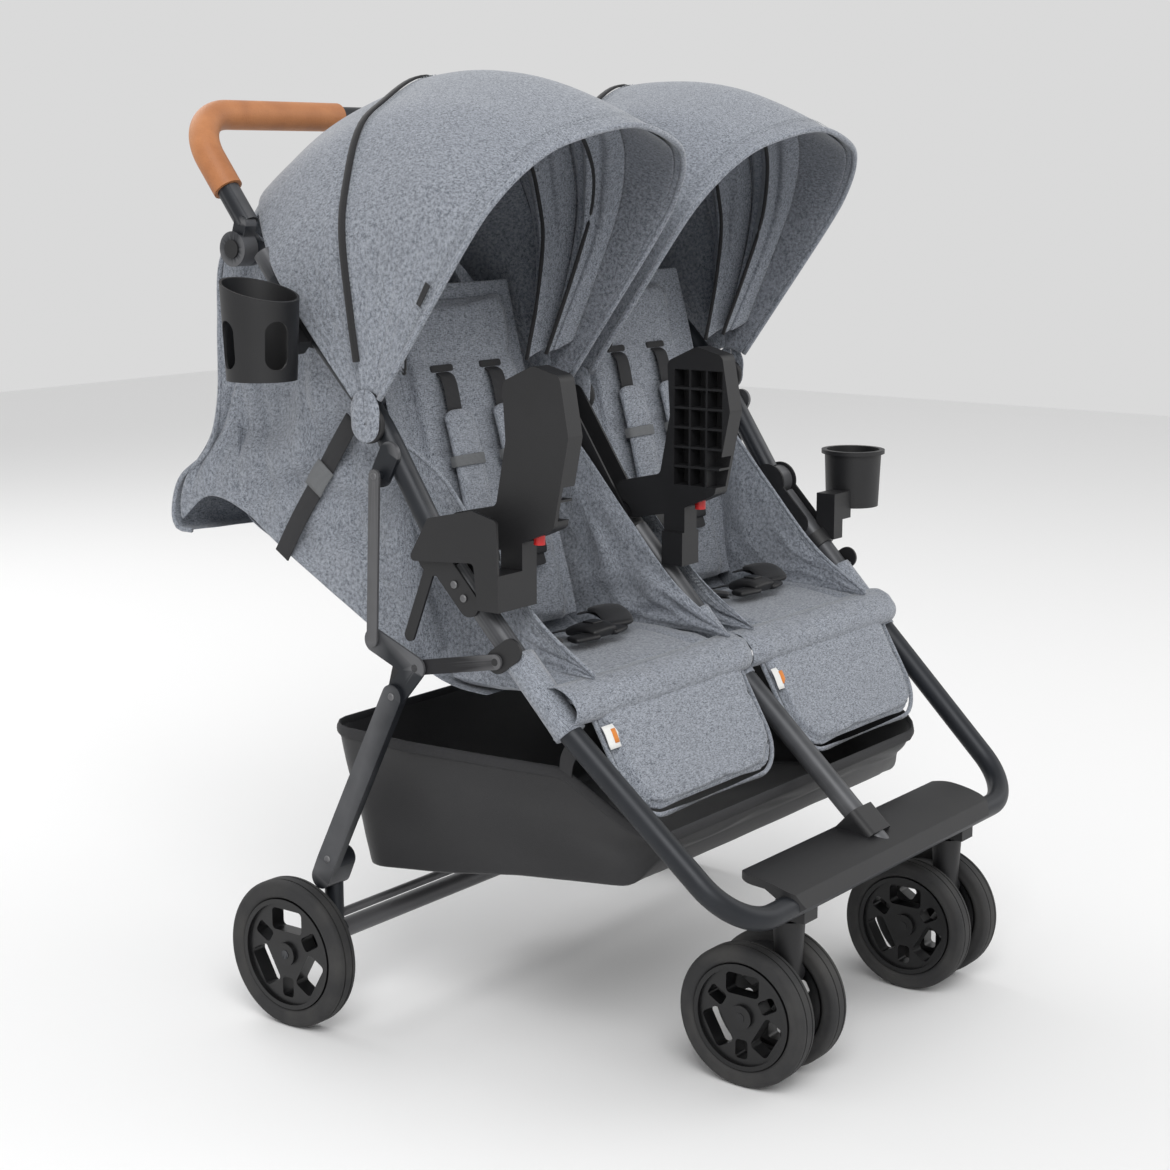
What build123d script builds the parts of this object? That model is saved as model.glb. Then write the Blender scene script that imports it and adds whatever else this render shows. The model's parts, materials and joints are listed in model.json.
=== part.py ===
from build123d import *
import math
import os

# Side-by-side twin stroller, millimetres.
# X runs from the left seat to the right seat, +Y points to the handle, +Z is up.
# The origin is on the ground below the middle of the stroller.

# ---------------------------------------------------------------- driving dimensions
TUBE_R = 12.5
TUBE_WALL = 1.6
PIN_R = 4.0
RUNNING = 0.05                      # radial clearance of pins and axles in their bores

FRAME_X = 325.0                     # side tubes at seat level
CORNER_X = 303.0                    # side tubes where they meet the front crossbar
CROSSBAR = (-377.0, 204.0)          # Y, Z
KNEE = (-172.0, 391.0)              # bend of the front tubes below the seat edge
HUB = (-22.0, 549.0)                # fold pivot
TUBE_TOP = (-38.0, 532.0)           # upper end of the front tubes, just below the fold pivot
CANOPY_PIVOT = (62.0, 678.0)
UPPER_KNEE = (203.0, 822.0)
UPPER_END = (225.0, 849.5)          # upper end of the rear frame tubes
HANDLE_JOINT = (258.0, 854.0)
HANDLE_START = (249.5, 880.6)
HANDLE_BAR = (340.0, 998.0)
HANDLE_CORNER_R = 62.0

SEAT_X = 162.5                      # middle of each seat
SEAT_FRONT = -193.0
SEAT_BITE = (5.0, 425.0)            # where the seat back meets the seat
BACK_LENGTH = 395.0
BACK_ANGLE = 75.0                   # seat back above the horizontal

BAR_FRONT = (-104.0, 446.0)         # front pivot of the seat bars
BAR_REAR = (1.0, 426.0)             # rear pivot of the seat bars, on the rear legs
LINK_TOP = (50.0, 625.0)            # fold link pivot on the upper frame
LINK_LOW = (57.0, 449.0)            # fold link pivot on the rear leg
LEG_TOP = (30.0, 392.0)
LEG_FOOT = (130.0, 190.0)

REAR_AXLE = (168.5, 84.0)
REAR_WHEEL_R = 84.0
REAR_WHEEL_X = (353.0, 381.0)
AXLE_TUBE = (145.0, 100.0)
BRAKE_ROD = (141.0, 121.0)
BRACKET_X = (318.0, 340.0)

CASTER_X = 175.0
CASTER_Y = -356.0
TRAIL = 30.0
FRONT_WHEEL_R = 76.4
FRONT_WHEEL_INNER = 18.5            # inner face of each caster wheel from the swivel axis
FRONT_WHEEL_WIDTH = 28.0

CANOPY_X = 184.0                    # middle of each canopy
CANOPY_FACES = (51.0, 83.0)         # rear and front edge of the fixed rear panel, degrees
VISOR_EDGES = (81.5, 104.0, 126.0)  # rear edge, middle and rim of the moving front panel
CANOPY_WALL = 3.0
SKIRT_R = 34.0                      # inner edge of the canopy sides round the pivot

# layers of the flat fold parts, measured outwards from the middle of the stroller
INNER_PLATE = (308.8, 311.8)
OUTER_PLATE = (338.2, 341.2)
SEAT_BAR_LAYER = (341.6, 344.6)
LEG_PLATE_LAYER = (345.0, 348.0)
LINK_LAYER = (348.6, 351.6)
LEG_LAYER = (342.5, 352.5)

SIDES = (("left", -1), ("right", 1))

os.makedirs("parts", exist_ok=True)


# ---------------------------------------------------------------- shared helpers
def side_plane(x):
    """Sketch plane across X: sketch X is the stroller's Y, sketch Y is its Z."""
    return Plane(origin=(x, 0, 0), x_dir=(0, 1, 0), z_dir=(1, 0, 0))


def layer(side, span):
    """Start and thickness of a layer on one side of the stroller."""
    low = min(side * span[0], side * span[1])
    return low, abs(span[1] - span[0])


def bar_shape(start, end, width):
    """Rounded bar between two pivots, drawn in the current sketch."""
    length = math.dist(start, end)
    angle = math.degrees(math.atan2(end[1] - start[1], end[0] - start[0]))
    middle = ((start[0] + end[0]) / 2, (start[1] + end[1]) / 2)
    with Locations(middle):
        SlotCenterToCenter(length, width, rotation=angle)


def pin(side, span, centre, radius, mode=Mode.ADD):
    """Round pin or bore along X in the current part."""
    low, thickness = layer(side, span)
    with BuildSketch(side_plane(low)) as section:
        with Locations(centre):
            Circle(radius)
    extrude(section.sketch, amount=thickness, mode=mode)


def along(start, end, distance):
    """Point at a distance from start towards end."""
    scale = distance / math.dist(start, end)
    return (start[0] + (end[0] - start[0]) * scale, start[1] + (end[1] - start[1]) * scale)


def polar(centre, radius, degrees):
    turn = math.radians(degrees)
    return (centre[0] + radius * math.cos(turn), centre[1] + radius * math.sin(turn))


def tube_along(path, outer=TUBE_R, wall=TUBE_WALL):
    """Hollow tube swept along the path in the current part."""
    with BuildSketch(Plane(origin=path.line @ 0, z_dir=path.line % 0)) as section:
        Circle(outer)
        Circle(outer - wall, mode=Mode.SUBTRACT)
    sweep(section.sketch, path=path.line)


def save(piece, name):
    piece.part.label = name
    export_step(piece.part, f"parts/{name}.step")


# ---------------------------------------------------------------- front frame
with BuildPart() as front_u_tube:
    with BuildLine() as u_path:
        FilletPolyline(
            (-FRAME_X, *TUBE_TOP),
            (-FRAME_X, *KNEE),
            (-CORNER_X, *CROSSBAR),
            (CORNER_X, *CROSSBAR),
            (FRAME_X, *KNEE),
            (FRAME_X, *TUBE_TOP),
            radius=(160, 65, 65, 160),
        )
    tube_along(u_path)
save(front_u_tube, "front_u_tube")

with BuildPart() as centre_tube:
    with BuildLine() as centre_path:
        FilletPolyline((0, *TUBE_TOP), (0, *KNEE), (0, *along(CROSSBAR, KNEE, TUBE_R)), radius=160)
    tube_along(centre_path)
    pin(1, (-30, 30), CROSSBAR, TUBE_R + 0.1, Mode.SUBTRACT)
save(centre_tube, "centre_tube")

# moulded footrest: two wings and a boss round the centre tube
FOOT_HALF = 218.0
FOOT_FRONT = (-386.0, 219.0)
FOOT_REAR = (-318.0, 231.0)
with BuildPart() as footrest:
    with BuildSketch(side_plane(-FOOT_HALF)):
        with BuildLine():
            front_face = Polyline((-394, 204), FOOT_FRONT)
            ThreePointArc(FOOT_FRONT, (-352, 229), FOOT_REAR)
            Polyline(FOOT_REAR, (-316, 223), (-352, 220.5), (-388, 200), (-394, 204))
        make_face()
    extrude(amount=2 * FOOT_HALF)
    with BuildSketch(Plane.XY.offset(190)):
        with Locations((0, -355)):
            RectangleRounded(2 * FOOT_HALF, 84, 26)
    extrude(amount=60, mode=Mode.INTERSECT)
    with BuildSketch(Plane(origin=(0, -352, 216), x_dir=(1, 0, 0), z_dir=(0, 0.737, 0.676))):
        RectangleRounded(46, 44, 8)
    extrude(amount=34)
    pin(1, (-CORNER_X, CORNER_X), CROSSBAR, TUBE_R + 0.1, Mode.SUBTRACT)
    with BuildSketch(Plane(origin=(0, *CROSSBAR), x_dir=(1, 0, 0), z_dir=(0, 0.7388, 0.6739))):
        Circle(TUBE_R + 0.1)
    extrude(amount=120, mode=Mode.SUBTRACT)
save(footrest, "footrest")

# necks below the crossbar that carry the swivelling front wheels
with BuildPart() as caster_mounts:
    for side in (-1, 1):
        with BuildSketch(Plane.XY.offset(180)):
            with Locations((side * CASTER_X, CASTER_Y)):
                Circle(15)
            with Locations((side * CASTER_X, CASTER_Y - 13)):
                Rectangle(26, 26)
        extrude(amount=17)
    pin(1, (-CORNER_X, CORNER_X), CROSSBAR, TUBE_R + 0.1, Mode.SUBTRACT)
    with Locations(*[(side * CASTER_X, CASTER_Y, 180) for side in (-1, 1)]):
        Cylinder(5 + RUNNING, 12, align=(Align.CENTER, Align.CENTER, Align.MIN), mode=Mode.SUBTRACT)
save(caster_mounts, "caster_mounts")

# riveted plates on the front tubes: fold hub with its pin, latch arm, and seat bar bracket
LATCH_END = (13.0, 459.0)
TUBE_RIVETS = (40.0, 58.0)
with BuildPart() as side_brackets:
    for name, side in SIDES:
        for span in (INNER_PLATE, OUTER_PLATE):
            low, thickness = layer(side, span)
            with BuildSketch(side_plane(low)):
                with Locations(HUB):
                    Circle(23)
                bar_shape(HUB, along(HUB, KNEE, 66), 27)
            extrude(amount=thickness)
        low, thickness = layer(side, OUTER_PLATE)
        with BuildSketch(side_plane(low)):
            bar_shape(HUB, LATCH_END, 13)
            bar_shape(BAR_FRONT, (-122, 459), 26)
        extrude(amount=thickness)
        pin(side, (INNER_PLATE[0], OUTER_PLATE[1] + 0.2), HUB, PIN_R)
        pin(side, (OUTER_PLATE[1], OUTER_PLATE[1] + 2.8), HUB, 9)
        pin(side, (OUTER_PLATE[0], SEAT_BAR_LAYER[1]), BAR_FRONT, PIN_R)
        for reach in TUBE_RIVETS:
            rivet = along(HUB, KNEE, reach)
            pin(side, (OUTER_PLATE[1] - 0.5, OUTER_PLATE[1] + 1.2), rivet, 4)
save(side_brackets, "side_brackets")

with BuildPart() as centre_hub:
    with BuildSketch(side_plane(-11)):
        with Locations(HUB):
            Circle(15)
        bar_shape(HUB, along(HUB, TUBE_TOP, 18), 14)
    extrude(amount=22)
    pin(1, (-12, 12), HUB, PIN_R + RUNNING, Mode.SUBTRACT)
    with BuildSketch(Plane(origin=(0, *TUBE_TOP), x_dir=(1, 0, 0), z_dir=(0, -0.689, -0.725))):
        Rectangle(60, 60)
    extrude(amount=20, mode=Mode.SUBTRACT)
save(centre_hub, "centre_hub")

# ---------------------------------------------------------------- seats and flaps
SEAT_INNER = 16.0
SEAT_OUTER = 307.0
SEAT_TOP = 425.0
SEAT_LOW = 403.0
for name, side in SIDES:
    low, width = layer(side, (SEAT_INNER, SEAT_OUTER))
    with BuildPart() as seat_base:
        with BuildSketch(side_plane(low)):
            with BuildLine():
                Polyline((-2, SEAT_TOP - 2), (-2, SEAT_LOW + 2), (SEAT_FRONT + 10, SEAT_LOW))
                ThreePointArc((SEAT_FRONT + 10, SEAT_LOW), (SEAT_FRONT, 411), (SEAT_FRONT + 12, 419))
                ThreePointArc((SEAT_FRONT + 12, 419), (-110, 427), (-2, SEAT_TOP - 2))
            make_face()
        extrude(amount=width)
    save(seat_base, f"{name}_seat_base")

FLAP_TILT = 60.0                    # hanging flap below the horizontal, degrees
FLAP_LENGTH = 122.0
FLAP_THICKNESS = 7.0
FLAP_PIVOT = (SEAT_FRONT + 1, 397.0)
FLAP_BEAD_R = 4.5                   # rod sewn into the flap's upper edge
for name, side in SIDES:
    drop = math.radians(FLAP_TILT)
    flap_plane = Plane(
        origin=(side * 160.5, *FLAP_PIVOT),
        x_dir=(1, 0, 0),
        z_dir=(0, -math.sin(drop), math.cos(drop)),
    )
    with BuildPart() as calf_flap:
        with BuildSketch(flap_plane) as flap_outline:
            with Locations((0, -FLAP_LENGTH / 2)):
                Rectangle(276, FLAP_LENGTH)
            fillet(flap_outline.vertices().group_by(Axis.Y)[0], 48)
        extrude(amount=FLAP_THICKNESS / 2, both=True)
        pin(side, (160.5 - 136, 160.5 + 136), FLAP_PIVOT, FLAP_BEAD_R)
    save(calf_flap, f"{name}_calf_flap")

# ---------------------------------------------------------------- basket and seat hoods
BASKET_HALF = 292.0
BASKET_WALL = 3.0
BASKET_OUTLINE = (
    (186, 322), (172, 234), (136, 164), (-80, 197), (-232, 214), (-272, 240), (-262, 268), (-150, 328),
)
BASKET_INSIDE = (
    (183, 345), (169, 236), (134.5, 167.5), (-80, 200), (-230.5, 217), (-267, 241), (-258, 268), (-216, 345),
)
with BuildPart() as basket:
    with BuildSketch(side_plane(-BASKET_HALF)):
        Polygon(*BASKET_OUTLINE, align=None)
    extrude(amount=2 * BASKET_HALF)
    with BuildSketch(side_plane(-BASKET_HALF + BASKET_WALL)):
        Polygon(*BASKET_INSIDE, align=None)
    extrude(amount=2 * (BASKET_HALF - BASKET_WALL), mode=Mode.SUBTRACT)
save(basket, "basket")

# fabric round each seat: a side wall on either hand and a slack rear wall that ends in a pouch
CLOTH = 2.5
HOOD_OUTLINE = (
    (-183, 428), (-150, 436), (-40, 553), (40, 642), (92, 668), (246, 864), (298, 868),
    (316, 770), (321, 684), (343, 626), (388, 590), (402.4, 548), (366, 526), (289, 554),
    (231, 523), (85, 442), (0, 431),
)
REAR_OUTLINE = (
    (124, 790), (246, 864), (298, 868), (316, 770), (321, 684), (343, 626), (388, 590),
    (402.4, 548), (366, 526), (289, 554), (231, 523), (85, 442), (45, 445),
)
HOOD_INNER = 22.0
HOOD_OUTER = 306.0
GUSSET_OUTER = 281.5                # side wall beside the seat, inside the car seat adapters
for name, side in SIDES:
    with BuildPart() as seat_hood:
        with BuildSketch(Plane.XY.offset(420)):
            with BuildLine():
                outer_plan = Polyline(
                    (side * GUSSET_OUTER, -190),
                    (side * GUSSET_OUTER, 14),
                    (side * HOOD_OUTER, 60),
                    (side * HOOD_OUTER, 410),
                    (side * (HOOD_OUTER - CLOTH), 410),
                    (side * (HOOD_OUTER - CLOTH), 61),
                    (side * (GUSSET_OUTER - CLOTH), 15),
                    (side * (GUSSET_OUTER - CLOTH), -190),
                    close=True,
                )
            make_face()
            with Locations((side * (HOOD_INNER + CLOTH / 2), 110)):
                Rectangle(CLOTH, 600)
        extrude(amount=480)
        with BuildSketch(side_plane(-330)):
            Polygon(*HOOD_OUTLINE, align=None)
        extrude(amount=660, mode=Mode.INTERSECT)
        low, width = layer(side, (HOOD_INNER, HOOD_OUTER))
        with BuildSketch(side_plane(low)):
            Polygon(*REAR_OUTLINE, align=None)
            Polygon(*[(y - 3.5, z + 2.5) for y, z in REAR_OUTLINE], align=None, mode=Mode.SUBTRACT)
        extrude(amount=width)
    save(seat_hood, f"{name}_seat_hood")

# ---------------------------------------------------------------- car seat adapters
ADAPTER_OUTLINE = (
    (6, 538), (-22, 588), (-78, 600), (-91, 668), (-87, 728), (-126, 746),
    (-160, 737), (-171, 676), (-152, 582), (-94, 557),
)
RIB_GRID = Plane(origin=(0, -129, 655), x_dir=(0, 1, 0), z_dir=(1, 0, 0))
ADAPTER_FOOT = (-98.0, 517.0)       # block that rests on the front tube
BUTTON_R = 6.0
BUTTON_Y = -125.0
BUTTON_Z = (563.0, 581.0)
BUTTON_TRAVEL = 2.0


def adapter_plate(span, pocket_side):
    """L shaped adapter plate across the X span, with a ribbed pocket on one face."""
    low, thickness = span[0], span[1] - span[0]
    with BuildSketch(side_plane(low)) as outline:
        Polygon(*ADAPTER_OUTLINE, align=None)
        fillet(outline.vertices(), 9)
    extrude(outline.sketch, amount=thickness)
    pocket_face = span[1] if pocket_side > 0 else span[0]
    with BuildSketch(RIB_GRID.offset(pocket_face)) as pockets:
        with GridLocations(22, 22, 3, 6):
            Rectangle(19.5, 19.5)
    extrude(pockets.sketch, amount=-pocket_side * (thickness - 5), mode=Mode.SUBTRACT)


def adapter_foot(span):
    """Block below the adapter's arm, hollowed to sit on the front tube."""
    with BuildSketch(side_plane(span[0])) as block:
        with Locations(ADAPTER_FOOT):
            Rectangle(28, 38)
    extrude(block.sketch, amount=span[1] - span[0])


def front_tube_clearance(x, reach=400.0):
    """Cut the straight upper run of the front tube at x out of the current part."""
    slope = Vector(0, TUBE_TOP[0] - KNEE[0], TUBE_TOP[1] - KNEE[1]).normalized()
    with BuildSketch(Plane(origin=(x, *KNEE), x_dir=(1, 0, 0), z_dir=slope)) as bore:
        Circle(TUBE_R + 0.3)
    extrude(bore.sketch, amount=reach, mode=Mode.SUBTRACT)


LEFT_ADAPTER = (-308.0, -284.0)
CENTRE_ADAPTER = (-12.3, 12.3)
CHEEK = (-348.2, -344.6)            # outer cheek of the left adapter, outside the fold plates
CENTRE_FOOT = (-16.5, 16.5)         # foot of the centre adapter, wider than the tube it sits on
for name, span, pocket_side in (("left", LEFT_ADAPTER, 1), ("centre", CENTRE_ADAPTER, -1)):
    middle = (span[0] + span[1]) / 2
    with BuildPart() as adapter:
        adapter_plate(span, pocket_side)
        with BuildSketch(side_plane(span[0])):
            with Locations((ADAPTER_FOOT[0], 550)):
                Rectangle(28, 36)
        extrude(amount=span[1] - span[0])
        if name == "left":
            with BuildSketch(side_plane(CHEEK[0])) as cheek:
                Polygon(
                    (8, 540), (-20, 587), (-78, 600), (-110, 592), (-112, 500), (-85, 500), (-80, 546),
                    align=None,
                )
                fillet(cheek.vertices(), 5)
            extrude(amount=CHEEK[1] - CHEEK[0])
            adapter_foot((CHEEK[0], span[1]))
            front_tube_clearance(-FRAME_X)
        else:
            adapter_foot(CENTRE_FOOT)
            front_tube_clearance(0)
            pin(1, span, HUB, 17, Mode.SUBTRACT)
        with Locations((middle, BUTTON_Y, BUTTON_Z[0] - 8)):
            Cylinder(
                BUTTON_R + RUNNING,
                BUTTON_Z[1] - BUTTON_Z[0] + 8 + BUTTON_TRAVEL + 1,
                align=(Align.CENTER, Align.CENTER, Align.MIN),
                mode=Mode.SUBTRACT,
            )
    save(adapter, f"{name}_adapter")

    with BuildPart() as adapter_button:
        with BuildSketch(Plane(origin=(middle, BUTTON_Y, BUTTON_Z[0]))):
            Circle(BUTTON_R)
        extrude(amount=BUTTON_Z[1] - BUTTON_Z[0])
    save(adapter_button, f"{name}_adapter_button")

# ---------------------------------------------------------------- rear upper frame
DISC_R = 19.5                       # fold discs on the lower ends of the upper tubes
DISC_SPAN = (313.0, 337.0)
EAR_SPAN = (313.0, 320.0)           # half of the handle joint that belongs to the upper frame
EAR_R = 19.0
CANOPY_PIN_R = 5.0
for name, side in SIDES:
    with BuildPart() as upper_tube:
        with BuildLine() as upper_path:
            FilletPolyline(
                (side * FRAME_X, *along(HUB, CANOPY_PIVOT, DISC_R - 3)),
                (side * FRAME_X, *CANOPY_PIVOT),
                (side * FRAME_X, *UPPER_KNEE),
                (side * FRAME_X, *UPPER_END),
                radius=(220, 60),
            )
        tube_along(upper_path)
        pin(side, DISC_SPAN, HUB, DISC_R)
        pin(side, DISC_SPAN, HUB, PIN_R + RUNNING, Mode.SUBTRACT)
        low, thickness = layer(side, (OUTER_PLATE[0] - 1.5, OUTER_PLATE[1]))
        with BuildSketch(side_plane(low)):
            bar_shape((38, 648), LINK_TOP, 26)
        extrude(amount=thickness)
        pin(side, (OUTER_PLATE[0], LINK_LAYER[1] + 0.4), LINK_TOP, PIN_R)
        pin(side, (OUTER_PLATE[0] - 2, 341.6), CANOPY_PIVOT, 12)
        pin(side, (341, 349.9), CANOPY_PIVOT, CANOPY_PIN_R)
        low, thickness = layer(side, EAR_SPAN)
        with BuildSketch(side_plane(low)):
            with Locations(HANDLE_JOINT):
                Circle(EAR_R)
            bar_shape(UPPER_END, along(UPPER_END, HANDLE_JOINT, 18), 20)
        extrude(amount=thickness)
        pin(side, (EAR_SPAN[0], 336.5), HANDLE_JOINT, 5)
    save(upper_tube, f"{name}_upper_tube")

# flat cheeks that carry the inner ends of both canopies, pinned to the centre hub
POST_SPAN = (14.0, 17.0)
with BuildPart() as centre_post:
    for side in (-1, 1):
        low, thickness = layer(side, POST_SPAN)
        with BuildSketch(side_plane(low)):
            bar_shape(HUB, CANOPY_PIVOT, 26)
        extrude(amount=thickness)
        pin(side, (POST_SPAN[0], 26.4), CANOPY_PIVOT, CANOPY_PIN_R)
    pin(1, (-17, 17), HUB, PIN_R)
save(centre_post, "centre_post")

# ---------------------------------------------------------------- cup holders
CUP_WALL = 2.6
CLAMP_R = TUBE_R + 3.6


def cup_shape(centre, heights, radii, mode=Mode.ADD):
    """Round tapered cup body in the current part."""
    rounds = []
    for height, radius in zip(heights, radii):
        with BuildSketch(Plane(origin=(*centre, height))) as section:
            Circle(radius)
        rounds.append(section.sketch.face())
    loft(rounds, mode=mode)


def cup_inside(centre, heights, radii):
    floor = (heights[0] + 3, heights[1] + 1)
    cup_shape(centre, floor, [radius - CUP_WALL for radius in radii], Mode.SUBTRACT)


PARENT_CUP = (-394.7, 165.0)
PARENT_CUP_Z = (722.0, 828.0)
PARENT_CUP_R = (37.0, 42.0)
PARENT_CLAMP = along(CANOPY_PIVOT, UPPER_KNEE, 131)
with BuildPart() as parent_cup_holder:
    cup_shape(PARENT_CUP, PARENT_CUP_Z, PARENT_CUP_R)
    rise = Vector(0, UPPER_KNEE[0] - CANOPY_PIVOT[0], UPPER_KNEE[1] - CANOPY_PIVOT[1]).normalized()
    clamp_plane = Plane(origin=(-FRAME_X, *PARENT_CLAMP), x_dir=(-1, 0, 0), z_dir=rise)
    with BuildSketch(clamp_plane):
        Circle(CLAMP_R)
        with Locations((22, -14)):
            Rectangle(26, 20)
    extrude(amount=13, both=True)
    with BuildSketch(clamp_plane):
        Circle(TUBE_R + RUNNING)
    extrude(amount=40, both=True, mode=Mode.SUBTRACT)
    cup_inside(PARENT_CUP, PARENT_CUP_Z, PARENT_CUP_R)
    with BuildSketch(Plane(origin=(*PARENT_CUP, 816), x_dir=(1, 0, 0), z_dir=(0, -0.27, 0.963))):
        Rectangle(130, 130)
    extrude(amount=40, mode=Mode.SUBTRACT)
    for turn in (70, 160, 250):
        outward = Vector(1, 0, 0).rotate(Axis.Z, turn)
        with BuildSketch(Plane(origin=(*PARENT_CUP, 760), x_dir=outward.cross(Vector(0, 0, 1)), z_dir=outward)):
            RectangleRounded(26, 50, 12)
        extrude(amount=60, mode=Mode.SUBTRACT)
save(parent_cup_holder, "parent_cup_holder")

CHILD_CUP = (396.0, -95.0)
CHILD_CUP_Z = (516.0, 588.0)
CHILD_CUP_R = (33.0, 36.0)
CHILD_LIP_R = 40.0
CHILD_CLAMP = along(HUB, KNEE, 97)
with BuildPart() as child_cup_holder:
    cup_shape(CHILD_CUP, CHILD_CUP_Z, CHILD_CUP_R)
    with BuildSketch(Plane(origin=(*CHILD_CUP, CHILD_CUP_Z[1] - 5))):
        Circle(CHILD_LIP_R)
    extrude(amount=5)
    with BuildSketch(Plane.XY.offset(482)):
        with Locations((336.5, -97)):
            Rectangle(21, 26)
    extrude(amount=57)
    with BuildSketch(Plane.XY.offset(505)):
        with Locations((352, -97)):
            Rectangle(30, 26)
    extrude(amount=34)
    fall = Vector(0, KNEE[0] - HUB[0], KNEE[1] - HUB[1]).normalized()
    ring_plane = Plane(origin=(FRAME_X, *CHILD_CLAMP), x_dir=(1, 0, 0), z_dir=fall)
    with BuildSketch(ring_plane):
        Circle(CLAMP_R)
    extrude(amount=9, both=True)
    front_tube_clearance(FRAME_X)
    cup_inside(CHILD_CUP, CHILD_CUP_Z, CHILD_CUP_R)
save(child_cup_holder, "child_cup_holder")

# ---------------------------------------------------------------- handle
BUTTON_CAP_R = 10.0
BUTTON_PRESS = 2.5
DIAL_SPAN = (337.0, 341.0)
with BuildPart() as handle_bar:
    with BuildLine() as handle_path:
        FilletPolyline(
            (-FRAME_X, *HANDLE_START),
            (-FRAME_X, *HANDLE_BAR),
            (FRAME_X, *HANDLE_BAR),
            (FRAME_X, *HANDLE_START),
            radius=HANDLE_CORNER_R,
        )
    tube_along(handle_path)
    for name, side in SIDES:
        low, thickness = layer(side, (EAR_SPAN[1] + 0.4, DIAL_SPAN[0]))
        with BuildSketch(side_plane(low)):
            with Locations(HANDLE_JOINT):
                Circle(EAR_R)
            bar_shape(HANDLE_START, along(HANDLE_START, HANDLE_JOINT, 16), 18)
        extrude(amount=thickness)
        pin(side, (EAR_SPAN[1], DIAL_SPAN[0]), HANDLE_JOINT, 5 + RUNNING, Mode.SUBTRACT)
        low, thickness = layer(side, DIAL_SPAN)
        with BuildSketch(side_plane(low)):
            with Locations(HANDLE_JOINT):
                Circle(EAR_R)
                Circle(BUTTON_CAP_R + RUNNING, mode=Mode.SUBTRACT)
        extrude(amount=thickness)
save(handle_bar, "handle_bar")

for name, side in SIDES:
    with BuildPart() as handle_button:
        pin(side, (DIAL_SPAN[0] + BUTTON_PRESS, DIAL_SPAN[1] + 2), HANDLE_JOINT, BUTTON_CAP_R)
    save(handle_button, f"{name}_handle_button")

GRIP_START = along(HANDLE_START, HANDLE_BAR, 46)
GRIP_INNER_END = 84.0
for name, side in SIDES:
    with BuildPart() as grip:
        with BuildLine() as grip_path:
            FilletPolyline(
                (side * FRAME_X, *GRIP_START),
                (side * FRAME_X, *HANDLE_BAR),
                (side * GRIP_INNER_END, *HANDLE_BAR),
                radius=HANDLE_CORNER_R,
            )
        tube_along(grip_path, TUBE_R + 4.0, 4.0 - RUNNING)
    save(grip, f"{name}_grip")

# ---------------------------------------------------------------- canopies
# half outlines of the bows: distance across from the middle, and out from the pivot axis
REAR_BOW = ((0, 357), (74, 327), (112, 300), (140, 248), (157, 196), (161, 120))
BACK_BOW = ((0, 361.5), (76, 331.5), (115.5, 304), (144.5, 251), (162, 198), (165.5, 120))
MIDDLE_BOW = ((0, 370), (84, 345), (123, 317), (150, 271), (163.5, 220), (165.5, 120))
RIM_BOW = ((0, 378), (92, 358), (132, 331), (156, 290), (165, 240), (165.5, 120))


def bow_plane(side, degrees):
    """Plane through the pivot axis: X across the stroller, Y outwards."""
    turn = math.radians(degrees)
    return Plane(
        origin=(side * CANOPY_X, *CANOPY_PIVOT),
        x_dir=(1, 0, 0),
        z_dir=(0, -math.sin(turn), math.cos(turn)),
    )


def bow_face(side, degrees, points, inset, foot):
    """Closed face below a bow, drawn on its plane and moved inwards by the inset."""
    crown = (0, points[0][1] - inset)
    right = [(across - inset, out - inset) for across, out in points[1:-1]]
    right.append((points[-1][0] - inset, points[-1][1]))
    left = [(-across, out) for across, out in reversed(right)]
    with BuildSketch(bow_plane(side, degrees)) as bow:
        with BuildLine() as outline:
            Spline(*left, crown, *right)
            Polyline(right[-1], (right[-1][0], foot), (left[0][0], foot), left[0])
        make_face(outline.edges())
    return bow.sketch.face()


def hinge_plates(side, reach, degrees):
    """Eyes and short arms that hang a canopy panel on its pivots, at both sides."""
    for start in (side * CANOPY_X - reach, side * CANOPY_X + reach - CANOPY_WALL):
        with BuildSketch(side_plane(start)) as plate:
            with Locations(CANOPY_PIVOT):
                Circle(13)
            bar_shape(CANOPY_PIVOT, polar(CANOPY_PIVOT, SKIRT_R + 6, degrees), 18)
        extrude(plate.sketch, amount=CANOPY_WALL)
    with BuildSketch(side_plane(side * CANOPY_X - reach - 1)) as bore:
        with Locations(CANOPY_PIVOT):
            Circle(CANOPY_PIN_R + RUNNING)
    extrude(bore.sketch, amount=2 * reach + 2, mode=Mode.SUBTRACT)


PIVOT_AXIS = Axis((0, *CANOPY_PIVOT), (1, 0, 0))
for name, side in SIDES:
    with BuildPart() as canopy_rear:
        shell_arc = CANOPY_FACES[1] - CANOPY_FACES[0]
        revolve(bow_face(side, CANOPY_FACES[0], REAR_BOW, 0, SKIRT_R), PIVOT_AXIS, shell_arc)
        inner_bow = bow_face(side, CANOPY_FACES[0] - 5, REAR_BOW, CANOPY_WALL, SKIRT_R - 10)
        revolve(inner_bow, PIVOT_AXIS, shell_arc + 10, mode=Mode.SUBTRACT)
        hinge_plates(side, REAR_BOW[-1][0], 62)
    save(canopy_rear, f"{name}_canopy_rear")

    bows = (BACK_BOW, MIDDLE_BOW, RIM_BOW)
    overrun = (-2, 0, 2)
    with BuildPart() as canopy_front:
        loft([bow_face(side, edge, bow, 0, SKIRT_R) for edge, bow in zip(VISOR_EDGES, bows)])
        inner_faces = [
            bow_face(side, edge + extra, bow, CANOPY_WALL, SKIRT_R - 10)
            for edge, extra, bow in zip(VISOR_EDGES, overrun, bows)
        ]
        loft(inner_faces, mode=Mode.SUBTRACT)
        hinge_plates(side, RIM_BOW[-1][0], VISOR_EDGES[1])
    save(canopy_front, f"{name}_canopy_front")

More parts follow.
